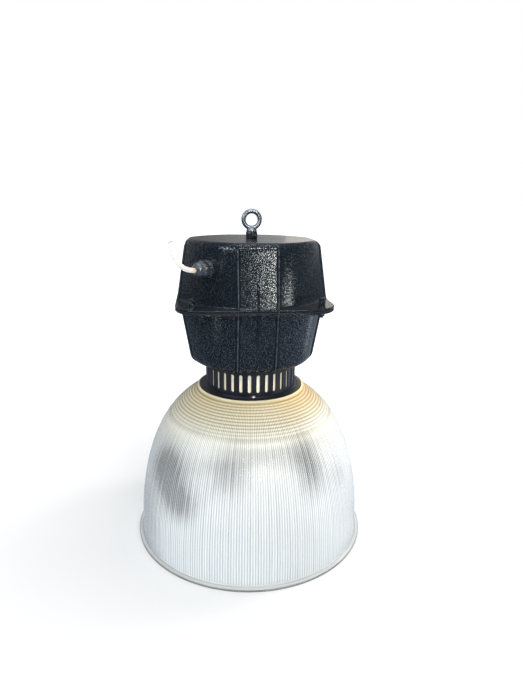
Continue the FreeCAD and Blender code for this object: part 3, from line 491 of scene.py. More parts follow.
def cable_sheath():
    """White flexible sheath, browned where it leaves the warm gland, with a fine extruded grain."""
    n = Nodes("white_sheath")
    away = n.vector("DISTANCE", {0: n.position, 1: CABLE_ROUTE[0]}, "Value")
    warm = n.times(n.span(away, 1.0, 0.0, 0.001, 0.010), n.span(n.noise(260, 3), 0.6, 1.0))
    tone = n.mix(n.noise(50, 5), (0.90, 0.89, 0.86), (0.82, 0.81, 0.77))
    tone = n.mix(n.times(warm, 0.85), tone, (0.78, 0.42, 0.16))
    n.bump(n.noise(500, 3), 0.00005, 0.5)
    return n.set(Base_Color=tone, Roughness=n.span(n.noise(80, 4), 0.32, 0.48), Subsurface_Weight=0.15,
                 Subsurface_Scale=0.002)


def laminated_steel():
    """The ballast's stacked laminations under varnish, in fine lines."""
    n = Nodes("laminated_steel")
    lines = n.bands("Y", 620, 0.4)
    stain = n.noise(40, 5)
    tone = n.mix(lines, (0.05, 0.055, 0.06), (0.12, 0.12, 0.125))
    tone = n.mix(n.span(stain, 0.0, 0.6, 0.5, 0.8), tone, (0.13, 0.07, 0.035))
    n.bump(lines, 0.0001, 0.6, 0.0004)
    return n.set(Base_Color=tone, Metallic=0.6, Roughness=n.span(stain, 0.3, 0.55))


def wound_coil():
    """Varnished copper turns seen through tape."""
    n = Nodes("wound_coil")
    turns = n.bands("Z", 300, 1.2)
    tone = n.mix(turns, (0.36, 0.20, 0.07), (0.62, 0.42, 0.17))
    tone = n.mix(n.span(n.noise(50, 5), 0.0, 0.5, 0.5, 0.8), tone, (0.20, 0.12, 0.06))
    n.bump(turns, 0.0002, 0.7, 0.0006)
    return n.set(Base_Color=tone, Roughness=0.42, Coat_Weight=0.4, Coat_Roughness=0.2)


MATERIALS = {
    "shade": prismatic_acrylic(),
    "collar": satin_black("satin_black_coat", (0.0045, 0.0060, 0.012)),
    "casting": hammered_paint(),
    "gasket": plastic("black_gasket", (0.008, 0.008, 0.009), 0.5, 0.7),
    "fastener": metal("zinc_plate", (0.62, 0.63, 0.62), 0.25, 0.5),
    "fastener_black": satin_black("black_steel", (0.006, 0.007, 0.009), 500, 0.15, 0.3),
    "eye": metal("forged_zinc", (0.25, 0.28, 0.33), 0.30, 0.40, grain=300, edge=0,
                 tarnish=(0.18, 0.20, 0.23), depth=0.00001),
    "gland": satin_black("gland_polyamide", (0.026, 0.034, 0.046), 1100, 0.16, 0.26, 1.0),
    "seal": plastic("seal_rubber", (0.03, 0.03, 0.03), 0.6, 0.8),
    "cable": cable_sheath(),
    "tray": metal("galvanised_sheet", (0.60, 0.61, 0.61), 0.35, 0.6, (1.0, 30.0, 1.0), 120),
    "laminations": laminated_steel(),
    "winding": wound_coil(),
    "can": metal("drawn_aluminium", (0.78, 0.78, 0.78), 0.22, 0.38, (1.0, 1.0, 0.05), 900),
    "insulator": plastic("cream_thermoset", (0.66, 0.62, 0.52), 0.3, 0.5),
    "porcelain": plastic("white_porcelain", (0.82, 0.80, 0.75), 0.08, 0.2, 250, 0.00003, 0.0008),
    "brass": metal("brass", (0.72, 0.53, 0.24), 0.2, 0.4),
    "lead_brown": plastic("brown_insulation", (0.14, 0.055, 0.022)),
    "lead_blue": plastic("blue_insulation", (0.02, 0.07, 0.30)),
    "lead_green": plastic("green_insulation", (0.10, 0.28, 0.05)),
    "lead_white": plastic("white_insulation", (0.70, 0.68, 0.62), 0.5, 0.7),
    "lamp_metal": metal("nickel_cap", (0.66, 0.63, 0.57), 0.2, 0.4, (1.0, 1.0, 14.0), 150),
    "lamp_glass": clear_glass(),
    "arc_tube": plastic("sintered_alumina", (0.80, 0.78, 0.73), 0.35, 0.5, 800, 0.00003, 0.0, 0.4),
    "spring_steel": metal("bright_wire", (0.66, 0.66, 0.67), 0.2, 0.35),
}


# ---- prismatic shade
# Painted dark patches in the shade, for what its prisms show: turn in degrees, height, half width, half
# height (mm) and depth.
SHADE_PAINTED_PATCHES = [(-146, 160, 15, 38, 1.6), (-132, 122, 10, 26, 1.2), (-106, 182, 12, 42, 0.9),
                (-61, 180, 9, 44, 1.1), (-76, 205, 16, 16, 0.5), (-38, 150, 8, 30, 0.45),
                (-22, 60, 9, 45, 0.30), (-156, 55, 16, 70, 0.50), (70, 150, 30, 40, 0.5),
                (150, 170, 20, 35, 0.5)]


def dome_radius(z):
    return WALL_RADIUS * (1 - (z / DOME_HEIGHT) ** DOME_BELLY) ** (1 / DOME_CROWN)


def dome_level(radius):
    return DOME_HEIGHT * (1 - (radius / WALL_RADIUS) ** DOME_CROWN) ** (1 / DOME_BELLY)


def even_dome(low, high, rows):
    """Points on the dome between two heights, evenly spaced along its curve."""
    z = np.linspace(low, high, 2000)
    r = dome_radius(z)
    length = np.concatenate([[0], np.cumsum(np.hypot(np.diff(r), np.diff(z)))])
    levels = np.interp(np.linspace(0, length[-1], rows), length, z)
    return np.stack([dome_radius(levels), levels], 1)


def make_shade():
    """The fluted dome: vertical prisms all round, ring prisms towards the neck, and a plain rim."""
    flute_steps = (0.0, 0.62, 1.0, 0.62)
    ring_steps = (0.0, 0.75, 1.0, 0.55)
    around = FLUTES * len(flute_steps)
    flute_depth, ring_depth, rings = 0.55 * MM, 0.9 * MM, 11
    crown, ring_foot = dome_level(SHOULDER_RADIUS), 227 * MM
    skirt = even_dome(LIP_HEIGHT + 3.2 * MM, ring_foot, 26)
    crest = even_dome(ring_foot, crown, rings * len(ring_steps) + 1)
    angles = np.arange(around) * 2 * math.pi / around
    flute = np.tile(flute_steps, FLUTES)
    number = np.arange(around) // len(flute_steps)  # of the flute that a point is on
    # How strongly each flute's root is painted darker, and each painted patch, changes from flute to
    # flute.
    tint = 0.80 + 0.20 * np.sin(number * 2.1) * np.cos(number * 0.37)
    degrees = np.degrees((angles + math.pi) % (2 * math.pi) - math.pi)
    roots, painted_patches = [], []

    def ring(radius, z, flute_share=0.0, notch=0.0):
        """A ring of points. Notes how far each is down in a prism's root, and the painted dark patches."""
        reach = radius - flute_depth * (1 - flute) * flute_share
        roots.append(np.minimum((1 - flute) * tint * min(1.0, flute_share * 1.7) + notch * 0.8, 1.0))
        painted_darkness = sum(depth * np.exp(-((degrees - turn) / wide) ** 2 - ((z - high * MM) / (tall * MM)) ** 2)
                    for turn, high, wide, tall, depth in SHADE_PAINTED_PATCHES)
        painted_patches.append(painted_darkness * (0.6 + 1.1 * (tint - 0.6)))
        return circle_points(reach, angles, z)

    lip = [(RIM_RADIUS - 0.8 * MM, 0.0), (RIM_RADIUS, 0.8 * MM), (RIM_RADIUS, LIP_HEIGHT - 1.2 * MM),
           (RIM_RADIUS - 1.2 * MM, LIP_HEIGHT), (WALL_RADIUS + 1.2 * MM, LIP_HEIGHT),
           (WALL_RADIUS + 0.2 * MM, LIP_HEIGHT + 1.0 * MM), (WALL_RADIUS, LIP_HEIGHT + 2.2 * MM)]
    outer = [ring(r, z) for r, z in lip]
    outer += [ring(r, z, 1.0) for r, z in skirt[:-1]]
    for i, (r, z) in enumerate(crest):
        dip = 1 - ring_steps[i % len(ring_steps)]
        fade = 0.35 + 0.65 * min(1.0, i / 16)
        outer.append(ring(r - ring_depth * dip, z - ring_depth * 0.6 * dip, 0.55, dip * fade))
    neck = [(SHOULDER_RADIUS - 0.6 * MM, SHOULDER_LEVEL - 0.5 * MM),
            (SHOULDER_RADIUS - 1.4 * MM, SHOULDER_LEVEL), (NECK_OUTER + 1.5 * MM, SHOULDER_LEVEL),
            (NECK_OUTER, SHOULDER_LEVEL + 1.5 * MM), (NECK_OUTER, shade_high.z - 0.5 * MM),
            (NECK_OUTER - 0.5 * MM, shade_high.z), (NECK_OUTER - SHADE_WALL + 0.5 * MM, shade_high.z),
            (NECK_OUTER - SHADE_WALL, shade_high.z - 0.5 * MM),
            (NECK_OUTER - SHADE_WALL, SHOULDER_LEVEL - SHADE_WALL),
            (SHOULDER_RADIUS - 5 * MM, SHOULDER_LEVEL - SHADE_WALL)]
    outer += [ring(r, z) for r, z in neck]
    inner = even_dome(LIP_HEIGHT, crown, 34)[::-1]
    rise = (inner[:, 1] / crown) ** 6
    inside = [ring(r - SHADE_WALL, z - SHADE_WALL * k) for (r, z), k in zip(inner, rise)]
    inside.append(ring(WALL_RADIUS - SHADE_WALL, 0.6 * MM))
    inside.append(ring(WALL_RADIUS - SHADE_WALL + 0.6 * MM, 0.0))
    rows = outer + inside
    shade = mesh_object("prismatic_shade_visual", np.concatenate(rows), grid_faces(len(rows), around), 75)
    for name, levels in (("prism_root", roots), ("painted_seen_through", painted_patches)):
        pattern = shade.data.attributes.new(name, "FLOAT", "POINT")
        pattern.data.foreach_set("value", np.concatenate(levels).astype(np.float32))
    finish_piece(shade, "shade", "prismatic_shade")


# ---- housing
def plan_points():
    """Where the plan's points lie: along a flat, close at its ribs, and as shares of a chamfer."""
    near_rib = np.linspace(-RIB_WIDTH * 0.95, RIB_WIDTH * 0.95, 11)
    flat = np.concatenate([-RIB_AT + near_rib, np.linspace(-25, -4, 6) * MM, near_rib,
                           np.linspace(4, 25, 6) * MM, RIB_AT + near_rib])
    spread = np.linspace(-1, 1, 33)
    return flat, 0.5 + 0.475 * (0.45 * spread + 0.55 * spread ** 3)


PLAN_FLAT, PLAN_CHAMFER = plan_points()


def housing_plan(half, z, inset=0.0, side_ribs=0.0, centre_rib=0.0):
    """One ring of the housing's plan at a level: four ribbed flats joined by bowed chamfers."""
    d = half - inset
    end = FLAT_HALF - inset * 0.42
    x = np.clip(PLAN_FLAT, -end, end)
    stand = np.zeros_like(x)
    for middle, height in ((-RIB_AT, side_ribs), (0.0, centre_rib), (RIB_AT, side_ribs)):
        away = np.abs(PLAN_FLAT - middle) / (RIB_WIDTH / 2)
        stand = np.maximum(stand, height * np.sqrt(np.clip(1 - (away / 1.45) ** 2, 0, 1)))
    flat = np.stack([x, -(d + stand)], 1)
    start, finish = np.array([end, -d]), np.array([d, -end])
    share = PLAN_CHAMFER[:, None]
    chord = start * (1 - share) + finish * share
    outward = np.array([1.0, -1.0]) / math.sqrt(2)
    bow = CHAMFER_BULGE * (1 - (2 * share - 1) ** 2)
    front = np.concatenate([flat, chord + outward * bow])
    ring = []
    for quarter in range(4):
        c, s = math.cos(quarter * math.pi / 2), math.sin(quarter * math.pi / 2)
        ring.append(front @ np.array([[c, s], [-s, c]]))
    ring = np.concatenate(ring)
    return np.column_stack([ring, np.full(len(ring), z)])


def square_ring(like, z, shrink=0.0):
    """The flange's rounded square at a level, its points at the same angles as another ring's."""
    angles = np.arctan2(like[:, 1], like[:, 0])
    reach, corner = FLANGE_HALF - shrink, FLANGE_CORNER - shrink
    c, s = np.abs(np.cos(angles)), np.abs(np.sin(angles))
    straight = reach / np.maximum(c, s)
    middle = reach - corner
    along = middle * (c + s)
    bend = along + np.sqrt(np.maximum(along ** 2 - 2 * middle ** 2 + corner ** 2, 0))
    in_corner = np.minimum(c, s) * straight > middle
    radius = np.where(in_corner, bend, straight)
    floor = np.hypot(like[:, 0], like[:, 1]) + 0.15 * MM - shrink * 0.2
    return circle_points(np.maximum(radius, floor), angles, z)


def round_ring(like, radius, z):
    """A circle at a level, its points at the same angles as another ring's."""
    return circle_points(radius, np.arctan2(like[:, 1], like[:, 0]), z)


def shrunk_ring(like, share, z):
    """Another ring drawn in towards the axis to a share of its size, at a level."""
    return np.column_stack([like[:, :2] * share, np.full(len(like), z)])


def flange_rings(base, low, high):
    """The flange's edge, from its underside round to its top side, with small rounds."""
    edge = 1.1 * MM
    return [square_ring(base, low, edge), square_ring(base, low + edge, 0.0),
            square_ring(base, high - edge, 0.0), square_ring(base, high, edge)]


# Distances from the flange at which the wall's fillet is drawn, and the angle of a sharp edge.
NEAR_FLANGE = np.array([0.3, 1.2, 2.5]) * MM
HOUSING_SHARP = 24


def bend_rings(start, end, start_half, end_half, pull, steps, rib_loss):
    """The wall's rounded corner between two levels, on which the ribs fade out."""
    rings = []
    for i in range(1, steps + 1):
        turn = math.pi / 2 * i / steps
        z = start + (end - start) * math.sin(turn)
        half = start_half - (start_half - end_half) * (1 - math.cos(turn)) - pull * math.sin(turn)
        rings.append(housing_plan(half, z, 0, RIB_STAND * max(0.0, 1 - i / steps * rib_loss)))
    return rings


def flange_fillet(away):
    """How far the wall stands out at a distance from the flange."""
    return max(0.0, 1 - away / NEAR_FLANGE[-1]) ** 2 * 1.6 * MM


def make_upper_housing():
    """The lid: flange, drafted ribbed wall, rounded top edge, flat top with the eye's hole."""
    wall_foot, shoulder = LID_BASE, 512 * MM
    foot_half, shoulder_half = 121 * MM, 107 * MM

    def half_at(z):
        return foot_half + (shoulder_half - foot_half) * (z - wall_foot) / (shoulder - wall_foot)

    flange_top = LID_BASE + FLANGE_PLATE
    rib_levels = np.concatenate([flange_top + NEAR_FLANGE,
                                 np.linspace(flange_top + 5 * MM, shoulder, 26)])
    centre_top, centre_fade = SEAM + 40 * MM, 6 * MM
    base = housing_plan(half_at(flange_top), flange_top, 0, RIB_STAND, RIB_STAND)
    rings = flange_rings(base, LID_BASE, flange_top)
    for z in rib_levels:
        fade = np.clip((centre_top - z) / centre_fade, 0, 1) * RIB_STAND
        rings.append(housing_plan(half_at(z) + flange_fillet(z - flange_top), z, 0, RIB_STAND, fade))
    rings += bend_rings(shoulder, LID_TOP, shoulder_half, shoulder_half - 8 * MM, 1.5 * MM, 8, 1.5)
    flat_rim = rings[-1]
    lid_wall, eye_hole, eye_seat = 3.5 * MM, 5.1 * MM, 14 * MM
    ceiling = LID_TOP - lid_wall
    rings += [shrunk_ring(flat_rim, share, LID_TOP) for share in (0.86, 0.62, 0.36)]
    rings += [round_ring(flat_rim, eye_seat, LID_TOP), round_ring(flat_rim, eye_hole, LID_TOP),
              round_ring(flat_rim, eye_hole, ceiling)]
    rings += [shrunk_ring(flat_rim, share, ceiling) for share in (0.3, 0.7)]
    rings.append(housing_plan(shoulder_half - lid_wall, ceiling, SHELL_WALL))
    rings += [housing_plan(half_at(z), z, SHELL_WALL) for z in np.linspace(shoulder, LID_BASE, 6)]
    shell = ring_solid("lid_shell", rings, HOUSING_SHARP)
    boss = in_mm([(2.7, 0), (7.4, 0), (7.4, 4), (5.8, 4.8), (5, 6.4), (4.7, 9), (4.7, 15.4), (4.2, 16),
                  (2.7, 16)], LID_BASE)
    bosses = [lathe("boss", boss, 32, matrix=corner) for corner in corners(SCREW_X, SCREW_Y)]
    pad = tube("pad", 10.2, 17, -10, 0, 1.0, 64, gland_matrix(GLAND_OUT))
    lid = joined("upper_housing_visual", [shell, pad, *bosses])
    finish_piece(lid, "casting", "upper_housing")


def gland_matrix(out):
    """Takes +Z to the gland's outward axis, with its foot a distance out on that axis."""
    outward = Vector((-1, -1, 0)).normalized()
    along = Vector((1, -1, 0)).normalized()
    place = outward * out + along * GLAND_SIDE + Vector((0, 0, GLAND_LEVEL))
    turn = outward.to_track_quat("Z", "Y").to_matrix().to_4x4()
    return Matrix.Translation(place) @ turn


def make_lower_housing():
    """The bowl: flange, drafted ribbed wall, rounded bottom with the lamp's hole, and posts."""
    bottom, knee = lower_low.z, 334 * MM
    bottom_half, knee_half, top_half = 88 * MM, 101 * MM, 116 * MM
    under = SEAM - LOWER_PLATE

    def half_at(z):
        return knee_half + (top_half - knee_half) * (z - knee) / (SEAM - knee)

    base = housing_plan(half_at(under), under, 0, RIB_STAND, RIB_STAND)
    rings = flange_rings(base, under, SEAM)[::-1]
    centre_foot, centre_fade = SEAM - 38 * MM, 8 * MM
    for z in np.concatenate([under - NEAR_FLANGE, np.linspace(under - 5 * MM, knee, 24)]):
        fade = np.clip((z - centre_foot) / centre_fade, 0, 1) * RIB_STAND
        rings.append(housing_plan(half_at(z) + flange_fillet(under - z), z, 0, RIB_STAND, fade))
    rings += bend_rings(knee, bottom, knee_half, bottom_half, 0.6 * MM, 9, 1.2)
    rim = rings[-1]
    floor_top, hole = bottom + 4 * MM, 45 * MM
    rings += [round_ring(rim, 80 * MM, bottom), round_ring(rim, hole, bottom),
              round_ring(rim, hole, floor_top), round_ring(rim, 78 * MM, floor_top),
              housing_plan(bottom_half + 3 * MM, floor_top, SHELL_WALL)]
    rings += [housing_plan(half_at(z), z, SHELL_WALL) for z in np.linspace(knee, SEAM, 6)]
    shell = ring_solid("bowl_shell", rings, HOUSING_SHARP)
    tray_low, post_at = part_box("gear_tray")[0].z, 60 * MM
    post = [(2.1 * MM, floor_top), (7 * MM, floor_top), (5.2 * MM, floor_top + 3 * MM),
            (5 * MM, tray_low), (2.1 * MM, tray_low)]
    posts = [lathe("post", post, 32, matrix=corner) for corner in corners(post_at, post_at)]
    bowl = joined("lower_housing_visual", [shell, *posts])
    finish_piece(bowl, "casting", "lower_housing")


def make_gasket():
    """The rubber between the flanges, set back a little from their edges."""
    wall_half, edge_back, middle_back = 116 * MM, 0.9 * MM, 0.6 * MM
    base = housing_plan(wall_half, SEAM)
    low, high = SEAM, LID_BASE
    rings = [square_ring(base, low, edge_back), square_ring(base, (low + high) / 2, middle_back),
             square_ring(base, high, edge_back), housing_plan(wall_half, high, SHELL_WALL),
             housing_plan(wall_half, low, SHELL_WALL)]
    gasket = ring_solid("housing_gasket_visual", rings, HOUSING_SHARP)
    finish_piece(gasket, "gasket", "housing_gasket")


def make_housing_screws():
    """Cheese-head screws with a hexagon socket, standing on the corner bosses."""
    top, tip, socket = screws_high.z, screws_low.z, 2.0 * MM
    seat = top - 3.8 * MM
    profile = [(0.0, tip), (2.1 * MM, tip), (2.5 * MM, tip + 0.8 * MM), (2.5 * MM, seat),
               (4.5 * MM, seat), (4.7 * MM, seat + 0.3 * MM)]
    profile += in_mm([(4.7, -0.8), (4.3, -0.2), (3.8, 0), (2.3, 0), (2.0, -0.3), (2.0, -2.4),
                      (0, -2.9)], top)

    def shape(angles, radius, z):
        if radius == socket:
            return hexagonal(2 * socket * 0.95)(angles, radius * 1.2, z)
        return np.full(len(angles), radius)

    screws = [lathe("screw", profile, 48, shape, corner) for corner in corners(SCREW_X, SCREW_Y)]
    finish_piece(joined("housing_screws_visual", screws), "fastener_black", "housing_screws")


# ---- collar
def make_collar():
    """The collar's turned body with slots cut through it."""
    profile_mm = [(75.5, 271.2), (90.0, 271.2), (90.2, 271.5), (90.2, 272.8), (87.9, 274.1),
                  (84.5, 274.2), (84.1, 275.1), (82.0, 275.1), (81.5, 274.2), (79.4, 274.3),
                  (78.3, 275.0), (78.0, 276.2), (78.0, 319.7), (77.7, 320.0), (61.0, 320.0),
                  (61.0, 317.5), (75.2, 317.5), (75.5, 317.2)]
    body = lathe("collar", in_mm(profile_mm), SLOTS * 8, sharp=30)
    width, low, high = 5.4 * MM, 279.5 * MM, 310 * MM
    cutters = []
    for i in range(SLOTS):
        outline = []
        for end, centre in ((-1, low + width / 2), (1, high - width / 2)):
            for k in range(9):
                turn = math.pi * k / 8 + (math.pi if end < 0 else 0)
                outline.append((width / 2 * math.cos(turn), centre + width / 2 * math.sin(turn)))
        count = len(outline)
        points = [(x, y, z) for y in (-84 * MM, -70 * MM) for x, z in outline]
        faces = [tuple(range(count)), tuple(range(2 * count - 1, count - 1, -1))]
        faces += [(k, (k + 1) % count, (k + 1) % count + count, k + count) for k in range(count)]
        cutter = mesh_object("slot", points, faces)
        cutter.data.transform(Matrix.Rotation(SLOT_TURN + 2 * math.pi * i / SLOTS, 4, "Z"))
        cutters.append(cutter)
    cutter = joined("slots", cutters)
    cut = body.modifiers.new("Slots", "BOOLEAN")
    cut.operation, cut.solver, cut.object = "DIFFERENCE", "EXACT", cutter
    apply_modifiers(body)
    bpy.data.objects.remove(cutter)
    body.data.set_sharp_from_angle(angle=math.radians(30))
    body.name = "vented_collar_visual"
    finish_piece(body, "collar", "vented_collar")


def make_clamp_screws():
    """Pan-head screws with a cross recess in the collar's flange."""
    low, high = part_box("shade_clamp_screws")
    seat = high.z - 2.6 * MM
    profile = [(0, low.z), (1.95 * MM, low.z), (1.95 * MM, seat)]
    profile += in_mm([(3.6, 0), (3.6, 0.7), (3.2, 1.7), (2.3, 2.4)], seat)
    profile += in_mm([(1.2, 0), (0.9, -0.9), (0, -1.2)], high.z)

    def cross(angles, radius, z):
        if radius in (1.2 * MM, 0.9 * MM):
            return radius * (0.55 + 0.75 * np.abs(np.cos(2 * angles)) ** 4)
        return np.full(len(angles), radius)

    circle, first, count = 84.5 * MM, -92, 3
    turns = [math.radians(first + 360 // count * i) for i in range(count)]
    screws = [lathe("screw", profile, 48, cross,
                    Matrix.Translation((circle * math.cos(a), circle * math.sin(a), 0))) for a in turns]
    finish_piece(joined("shade_clamp_screws_visual", screws), "fastener", "shade_clamp_screws")


# ---- suspension eye
def make_eye():
    """The forged eye: ring, neck and shank melted into one another by a fine remesh."""
    centre, outer, inner = 552 * MM, 17 * MM, 9.5 * MM
    middle, thick = (outer + inner) / 2, (outer - inner) / 2
    turn = Matrix.Translation((0, 0, centre)) @ Matrix.Rotation(math.pi / 2, 4, "X")
    section = [(middle + thick * math.cos(a), thick * math.sin(a))
               for a in np.arange(24) * 2 * math.pi / 24]
    loop = lathe("loop", section, 72, matrix=turn)
    foot = nut_high.z
    neck = in_mm([(0, -3), (7.4, -3), (8.4, 0), (8.8, 1.4), (8.6, 3.2), (6.6, 5.4), (5.6, 7.2),
                  (0, 7.2)], foot)
    eye = joined("eye_bolt_visual", [loop, lathe("stem", neck, 48)])
    melt = eye.modifiers.new("Melt", "REMESH")
    melt.mode, melt.voxel_size = "VOXEL", 0.45 * MM
    soften = eye.modifiers.new("Soften", "SMOOTH")
    soften.factor, soften.iterations = 0.5, 30
    apply_modifiers(eye)
    eye.data.shade_smooth()
    low, high, shank_radius = eye_low.z, foot - 2 * MM, 4.95 * MM
    shank = lathe("shank", rounded([(0, low), (shank_radius, low), (shank_radius, high), (0, high)],
                                   0.8 * MM), 32)
    finish_piece(joined("eye_bolt_visual", [eye, shank]), "eye", "eye_bolt")


def hexagon_nut(name, across_flats, bore, low, high, matrix=None):
    """A nut with its corners turned off to a cone at both ends."""
    corner, flat = across_flats / math.sqrt(3), across_flats / 2
    depth = (corner - flat * 0.97) * 0.58
    profile = [(bore, low), (flat * 0.95, low), (flat * 0.97, low + 0.05 * MM), (corner, low + depth),
               (corner, high - depth), (flat * 0.97, high - 0.05 * MM), (flat * 0.95, high), (bore, high)]
    return lathe(name, profile, 96, hexagonal(across_flats), matrix, sharp=28)


def make_nuts():
    """The eye's lock nut, the nut inside that holds it, and the nuts under the flange."""
    lock = hexagon_nut("eye_lock_nut_visual", 18 * MM, 5 * MM, nut_low.z, nut_high.z)
    finish_piece(lock, "fastener_black", "eye_lock_nut")
    low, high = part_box("eye_inner_nut")
    inner = hexagon_nut("eye_inner_nut_visual", 17 * MM, 5 * MM, low.z, high.z)
    finish_piece(inner, "fastener", "eye_inner_nut")
    low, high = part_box("housing_nuts")
    nuts = [hexagon_nut("nut", 8 * MM, 2.5 * MM, low.z, high.z, corner)
            for corner in corners(SCREW_X, SCREW_Y)]
    finish_piece(joined("housing_nuts_visual", nuts), "fastener_black", "housing_nuts")


# ---- cable gland
def make_gland():
    """The gland's threaded body with its hexagon, and the domed cap nut with grip ridges."""
    foot, flats, bore = gland_matrix(GLAND_OUT), 24 * MM, 4.6
    hexagon = hexagon_nut("hexagon", flats, bore * MM, 0.9 * MM, 5 * MM, foot)
    washer = tube("washer", bore, 13.6, 0, 1.2, 0.4, 64, foot)
    turns, pitch, crest, root, start, end = 5, 1.5, 8.8, 7.2, 5, 13.5
    thread = [(root, start)]
    for i in range(turns):
        z = start + pitch * i
        thread += [(crest - 0.5, z), (crest, z + pitch * 0.45), (crest, z + pitch * 0.6)]
    thread += [(crest - 0.5, end), (root, end)]
    stub = lathe("stub", in_mm(thread), 64, matrix=foot)
    inside = lathe("inside", in_mm([(bore, -17), (9.9, -17), (9.9, 0), (bore, 0)]), 64, matrix=foot)
    body = joined("gland_body_visual", [hexagon, washer, stub, inside])
    finish_piece(body, "gland", "gland_body")

    grip_from, grip_to, mouth = 5.4, 17, 27.5
    corner = 24 / math.sqrt(3)
    outline = in_mm([
        (9.2, grip_from), (12.4, grip_from), (corner, grip_from + 1.2), (corner, grip_to - 1.6),
        (11.9, grip_to), (11.5, grip_to + 0.6), (11.4, 19), (10.9, 20.8), (10.2, 22.4), (9.2, 24),
        (7.8, 25.5), (6.4, 26.6), (5.9, 27.2), (5.5, mouth), (4.8, mouth), (4.4, mouth - 0.4),
        (4.3, 23), (5.6, 22.4), (7.4, 16.4), (7.4, 15), (9.2, 13.9)])
    keep_hexagon = hexagonal(flats)

    def shape(angles, radius, z):
        if radius > 12 * MM:
            return keep_hexagon(angles, radius, z)
        if 17.4 * MM < z < 23 * MM and radius > 9 * MM:
            ridge = np.clip(np.cos(angles * 24), 0, 1) * 0.35 * MM
            return radius - 0.1 * MM + ridge
        return np.full(len(angles), radius)

    cap = lathe("gland_cap_visual", outline, 144, shape, foot, sharp=32)
    finish_piece(cap, "gland", "gland_cap", body="gland_nut")


def make_cable():
    """The free end of the mains cable, curling up from the gland to where it was cut."""
    curve = bpy.data.curves.new("mains_cable_visual", "CURVE")
    curve.dimensions = "3D"
    spline = curve.splines.new("NURBS")
    spline.points.add(len(CABLE_ROUTE) - 1)
    for point, place in zip(spline.points, CABLE_ROUTE):
        point.co = (*place, 1)
    spline.order_u = 3
    spline.use_endpoint_u = True
    spline.resolution_u = 16
    curve.bevel_depth = CABLE_RADIUS
    curve.bevel_resolution = 8
    curve.use_fill_caps = True
    cable = new_object("mains_cable_visual", curve)
    curve.materials.append(MATERIALS["cable"])
    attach(cable, "fixture")
    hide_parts("mains_cable")

    end, before = Vector(CABLE_ROUTE[-1]), Vector(CABLE_ROUTE[-2])
    along = (end - before).normalized()
    frame_at_end = Matrix.Translation(end) @ along.to_track_quat("Z", "Y").to_matrix().to_4x4()
    filler = tube("filler", 0, 3.0, -0.6, 0.05, 0.1, 32, frame_at_end)
    finish_piece(filler, "seal")
    filler.name = "cable_filler"
    core_circle = 1.45 * MM
    for i, slot in enumerate(("lead_brown", "lead_blue", "lead_green")):
        turn = math.radians(90 + 120 * i)
        place = frame_at_end @ Matrix.Translation((core_circle * math.cos(turn),
                                                   core_circle * math.sin(turn), 0))
        core = tube(f"cable_core_{i}", 0.62, 1.25, -0.5, 0.15, 0.08, 32, place)
        finish_piece(core, slot)
        copper = tube(f"cable_copper_{i}", 0, 0.6, -0.5, 0.22, 0.08, 24, place)
        finish_piece(copper, "brass")


# ---- floor, light and camera
# Each light's name, place, target, size, power and colour.
LIGHTS = [
    ("right_window", (1.65, 0.5, 1.05), (0.1, -0.05, 0.2), (0.6, 0.8), 38, (1.0, 0.99, 0.98)),
    ("front_window", (0.270, -1.5, 0.74), (0.03, -0.12, 0.46), (0.11, 0.5), 4.4, (1.0, 0.97, 0.88)),
    ("side_window", (1.42, -0.55, 0.34), (0.06, -0.10, 0.44), (0.22, 0.36), 2.4, (1.0, 0.97, 0.92)),
    ("left_window", (-1.3, -1.0, 1.2), (-0.1, -0.1, 0.48), (0.9, 0.7), 12.0, (0.84, 0.92, 1.0)),
    ("low_left", (-0.83, -0.30, 0.12), (-0.08, -0.09, 0.38), (0.05, 0.22), 0.12, (0.85, 0.93, 1.0)),
    ("low_right", (0.80, 0.33, 0.12), (0.09, -0.06, 0.38), (0.05, 0.20), 0.08, (0.85, 0.93, 1.0)),
    ("back_window", (0.60, 1.55, 0.85), (0.05, 0, 0.52), (0.60, 0.5), 0.5, (1.0, 0.90, 0.72)),
    ("ceiling_strip", (0.2, -1.15, 1.35), (0, -0.12, 0.42), (0.9, 0.10), 9.0, (1, 1, 1)),
    ("overhead", (-0.1, -0.2, 2.3), (0, 0, 0.3), (1.6, 1.6), 15, (1, 1, 1))]


def make_floor():
    """A pale floor that is darker in reflections and brightens with its own glow far off."""
    bpy.ops.mesh.primitive_grid_add(x_subdivisions=4, y_subdivisions=4, size=30)
    floor = bpy.context.object
    floor.name = "floor"
    n = Nodes("pale_floor")
    n.bump(n.noise(3, 2), 0.0002, 0.1)
    path = n.add("LightPath").outputs
    mirrored = n.sum(path["Is Glossy Ray"], path["Is Transmission Ray"], "SUBTRACT")
    tone = n.mix(n.noise(1.2, 2), (0.80, 0.80, 0.81), (0.83, 0.83, 0.835))
    tone = n.mix(n.span(path["Is Camera Ray"], 0.0, 0.40), tone, (0.0, 0.0, 0.0))
    n.set(Base_Color=n.mix(mirrored, tone, (0.24, 0.28, 0.35)), Roughness=0.7, Specular_IOR_Level=0.1)
    away = n.vector("LENGTH", {0: n.position}, "Value")
    fade = n.most(n.span(away, 0.22, 0.62, 0.24, 0.70), n.span(away, 0.20, 1.05, 0.40, 1.30))
    glow = n.make("Emission", "Emission", {"Strength": n.times(fade, path["Is Camera Ray"])})
    n.surface(n.make("AddShader", "Shader", {0: n.shader.outputs["BSDF"], 1: glow}))
    floor.data.materials.append(n.owner)


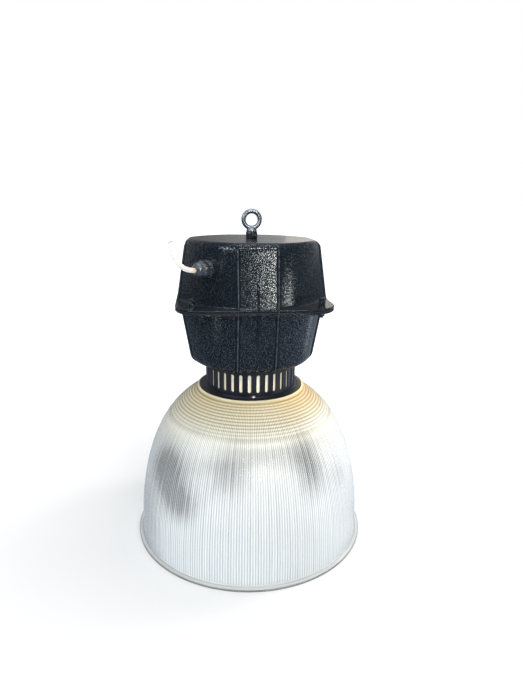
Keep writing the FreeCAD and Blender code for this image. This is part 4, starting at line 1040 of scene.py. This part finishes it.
def make_lights():
    """Soft window light from the right, and weaker lights that the housing reflects."""
    for name, place, target, size, power, colour in LIGHTS:
        light = bpy.data.lights.new(name, "AREA")
        light.shape, light.energy, light.color = "RECTANGLE", power, colour
        light.size, light.size_y = size
        obj = new_object(name, light)
        obj.location = place
        direction = Vector(target) - Vector(place)
        obj.rotation_euler = direction.to_track_quat("-Z", "Y").to_euler()
        obj.visible_camera = False
        obj.visible_glossy = name != "right_window"


def make_room():
    """The room that reflections show: dark in front, bright behind. The camera sees plain white."""
    world = bpy.data.worlds.new("soft_room")
    bpy.context.scene.world = world
    n = Nodes("soft_room", world)
    direction = n.axes(n.place["Generated"])

    def along(axis, *stops):
        """A level that follows the direction looked in, from -1 to 1 on an axis."""
        return n.ramp(n.span(direction[axis], 0.0, 1.0, -1.0, 1.0),
                      [((at + 1) / 2, level) for at, level in stops])

    depth = along("Y", (-1.0, 0.035), (-0.3, 0.05), (0.2, 0.45), (0.7, 0.85))
    across = along("X", (-0.5, 0.75), (-0.15, 0.25), (0.0, 0.25), (0.2, 0.75))
    height = along("Z", (0.25, 0.0), (0.7, 0.45))
    seen = n.add("LightPath").outputs["Is Camera Ray"]
    background = n.tree.nodes["Background"].inputs
    n.link(n.most(seen, n.most(n.times(depth, across), height)), background["Strength"])
    background["Color"].default_value = (1, 1, 1, 1)


def make_camera():
    """The camera: a little above the lamp's top, turned a little to the right and down."""
    camera_data = bpy.data.cameras.new("camera")
    camera_data.sensor_width, camera_data.lens = 36, 26.91
    camera = new_object("camera", camera_data)
    heading, pitch, roll = math.radians(6.7), math.radians(16.02), math.radians(0.78)
    forward = Vector((math.sin(heading) * math.cos(pitch), math.cos(heading) * math.cos(pitch),
                      -math.sin(pitch)))
    camera.location = (-0.0835, -0.8726, 0.5836)
    camera.rotation_mode = "QUATERNION"
    camera.rotation_quaternion = forward.to_track_quat("-Z", "Y") @ Quaternion((0, 0, 1), roll)
    bpy.context.scene.camera = camera


def carry_over():
    """Gives every CAD node the material of its slot in the record."""
    slots = {s["node"]: s["material_slot"] for s in frame["record"]["subparts"]}
    for name, obj in frame["nodes"].items():
        obj.data.materials.clear()
        obj.data.materials.append(MATERIALS[slots[name]])


for make in (carry_over, make_camera, make_cable, make_shade, make_upper_housing, make_lower_housing,
             make_gasket, make_housing_screws, make_collar, make_clamp_screws, make_eye, make_nuts,
             make_gland, make_floor, make_lights, make_room):
    make()
bpy.context.scene.view_settings.view_transform = "Standard"

bpy.context.view_layer.update()
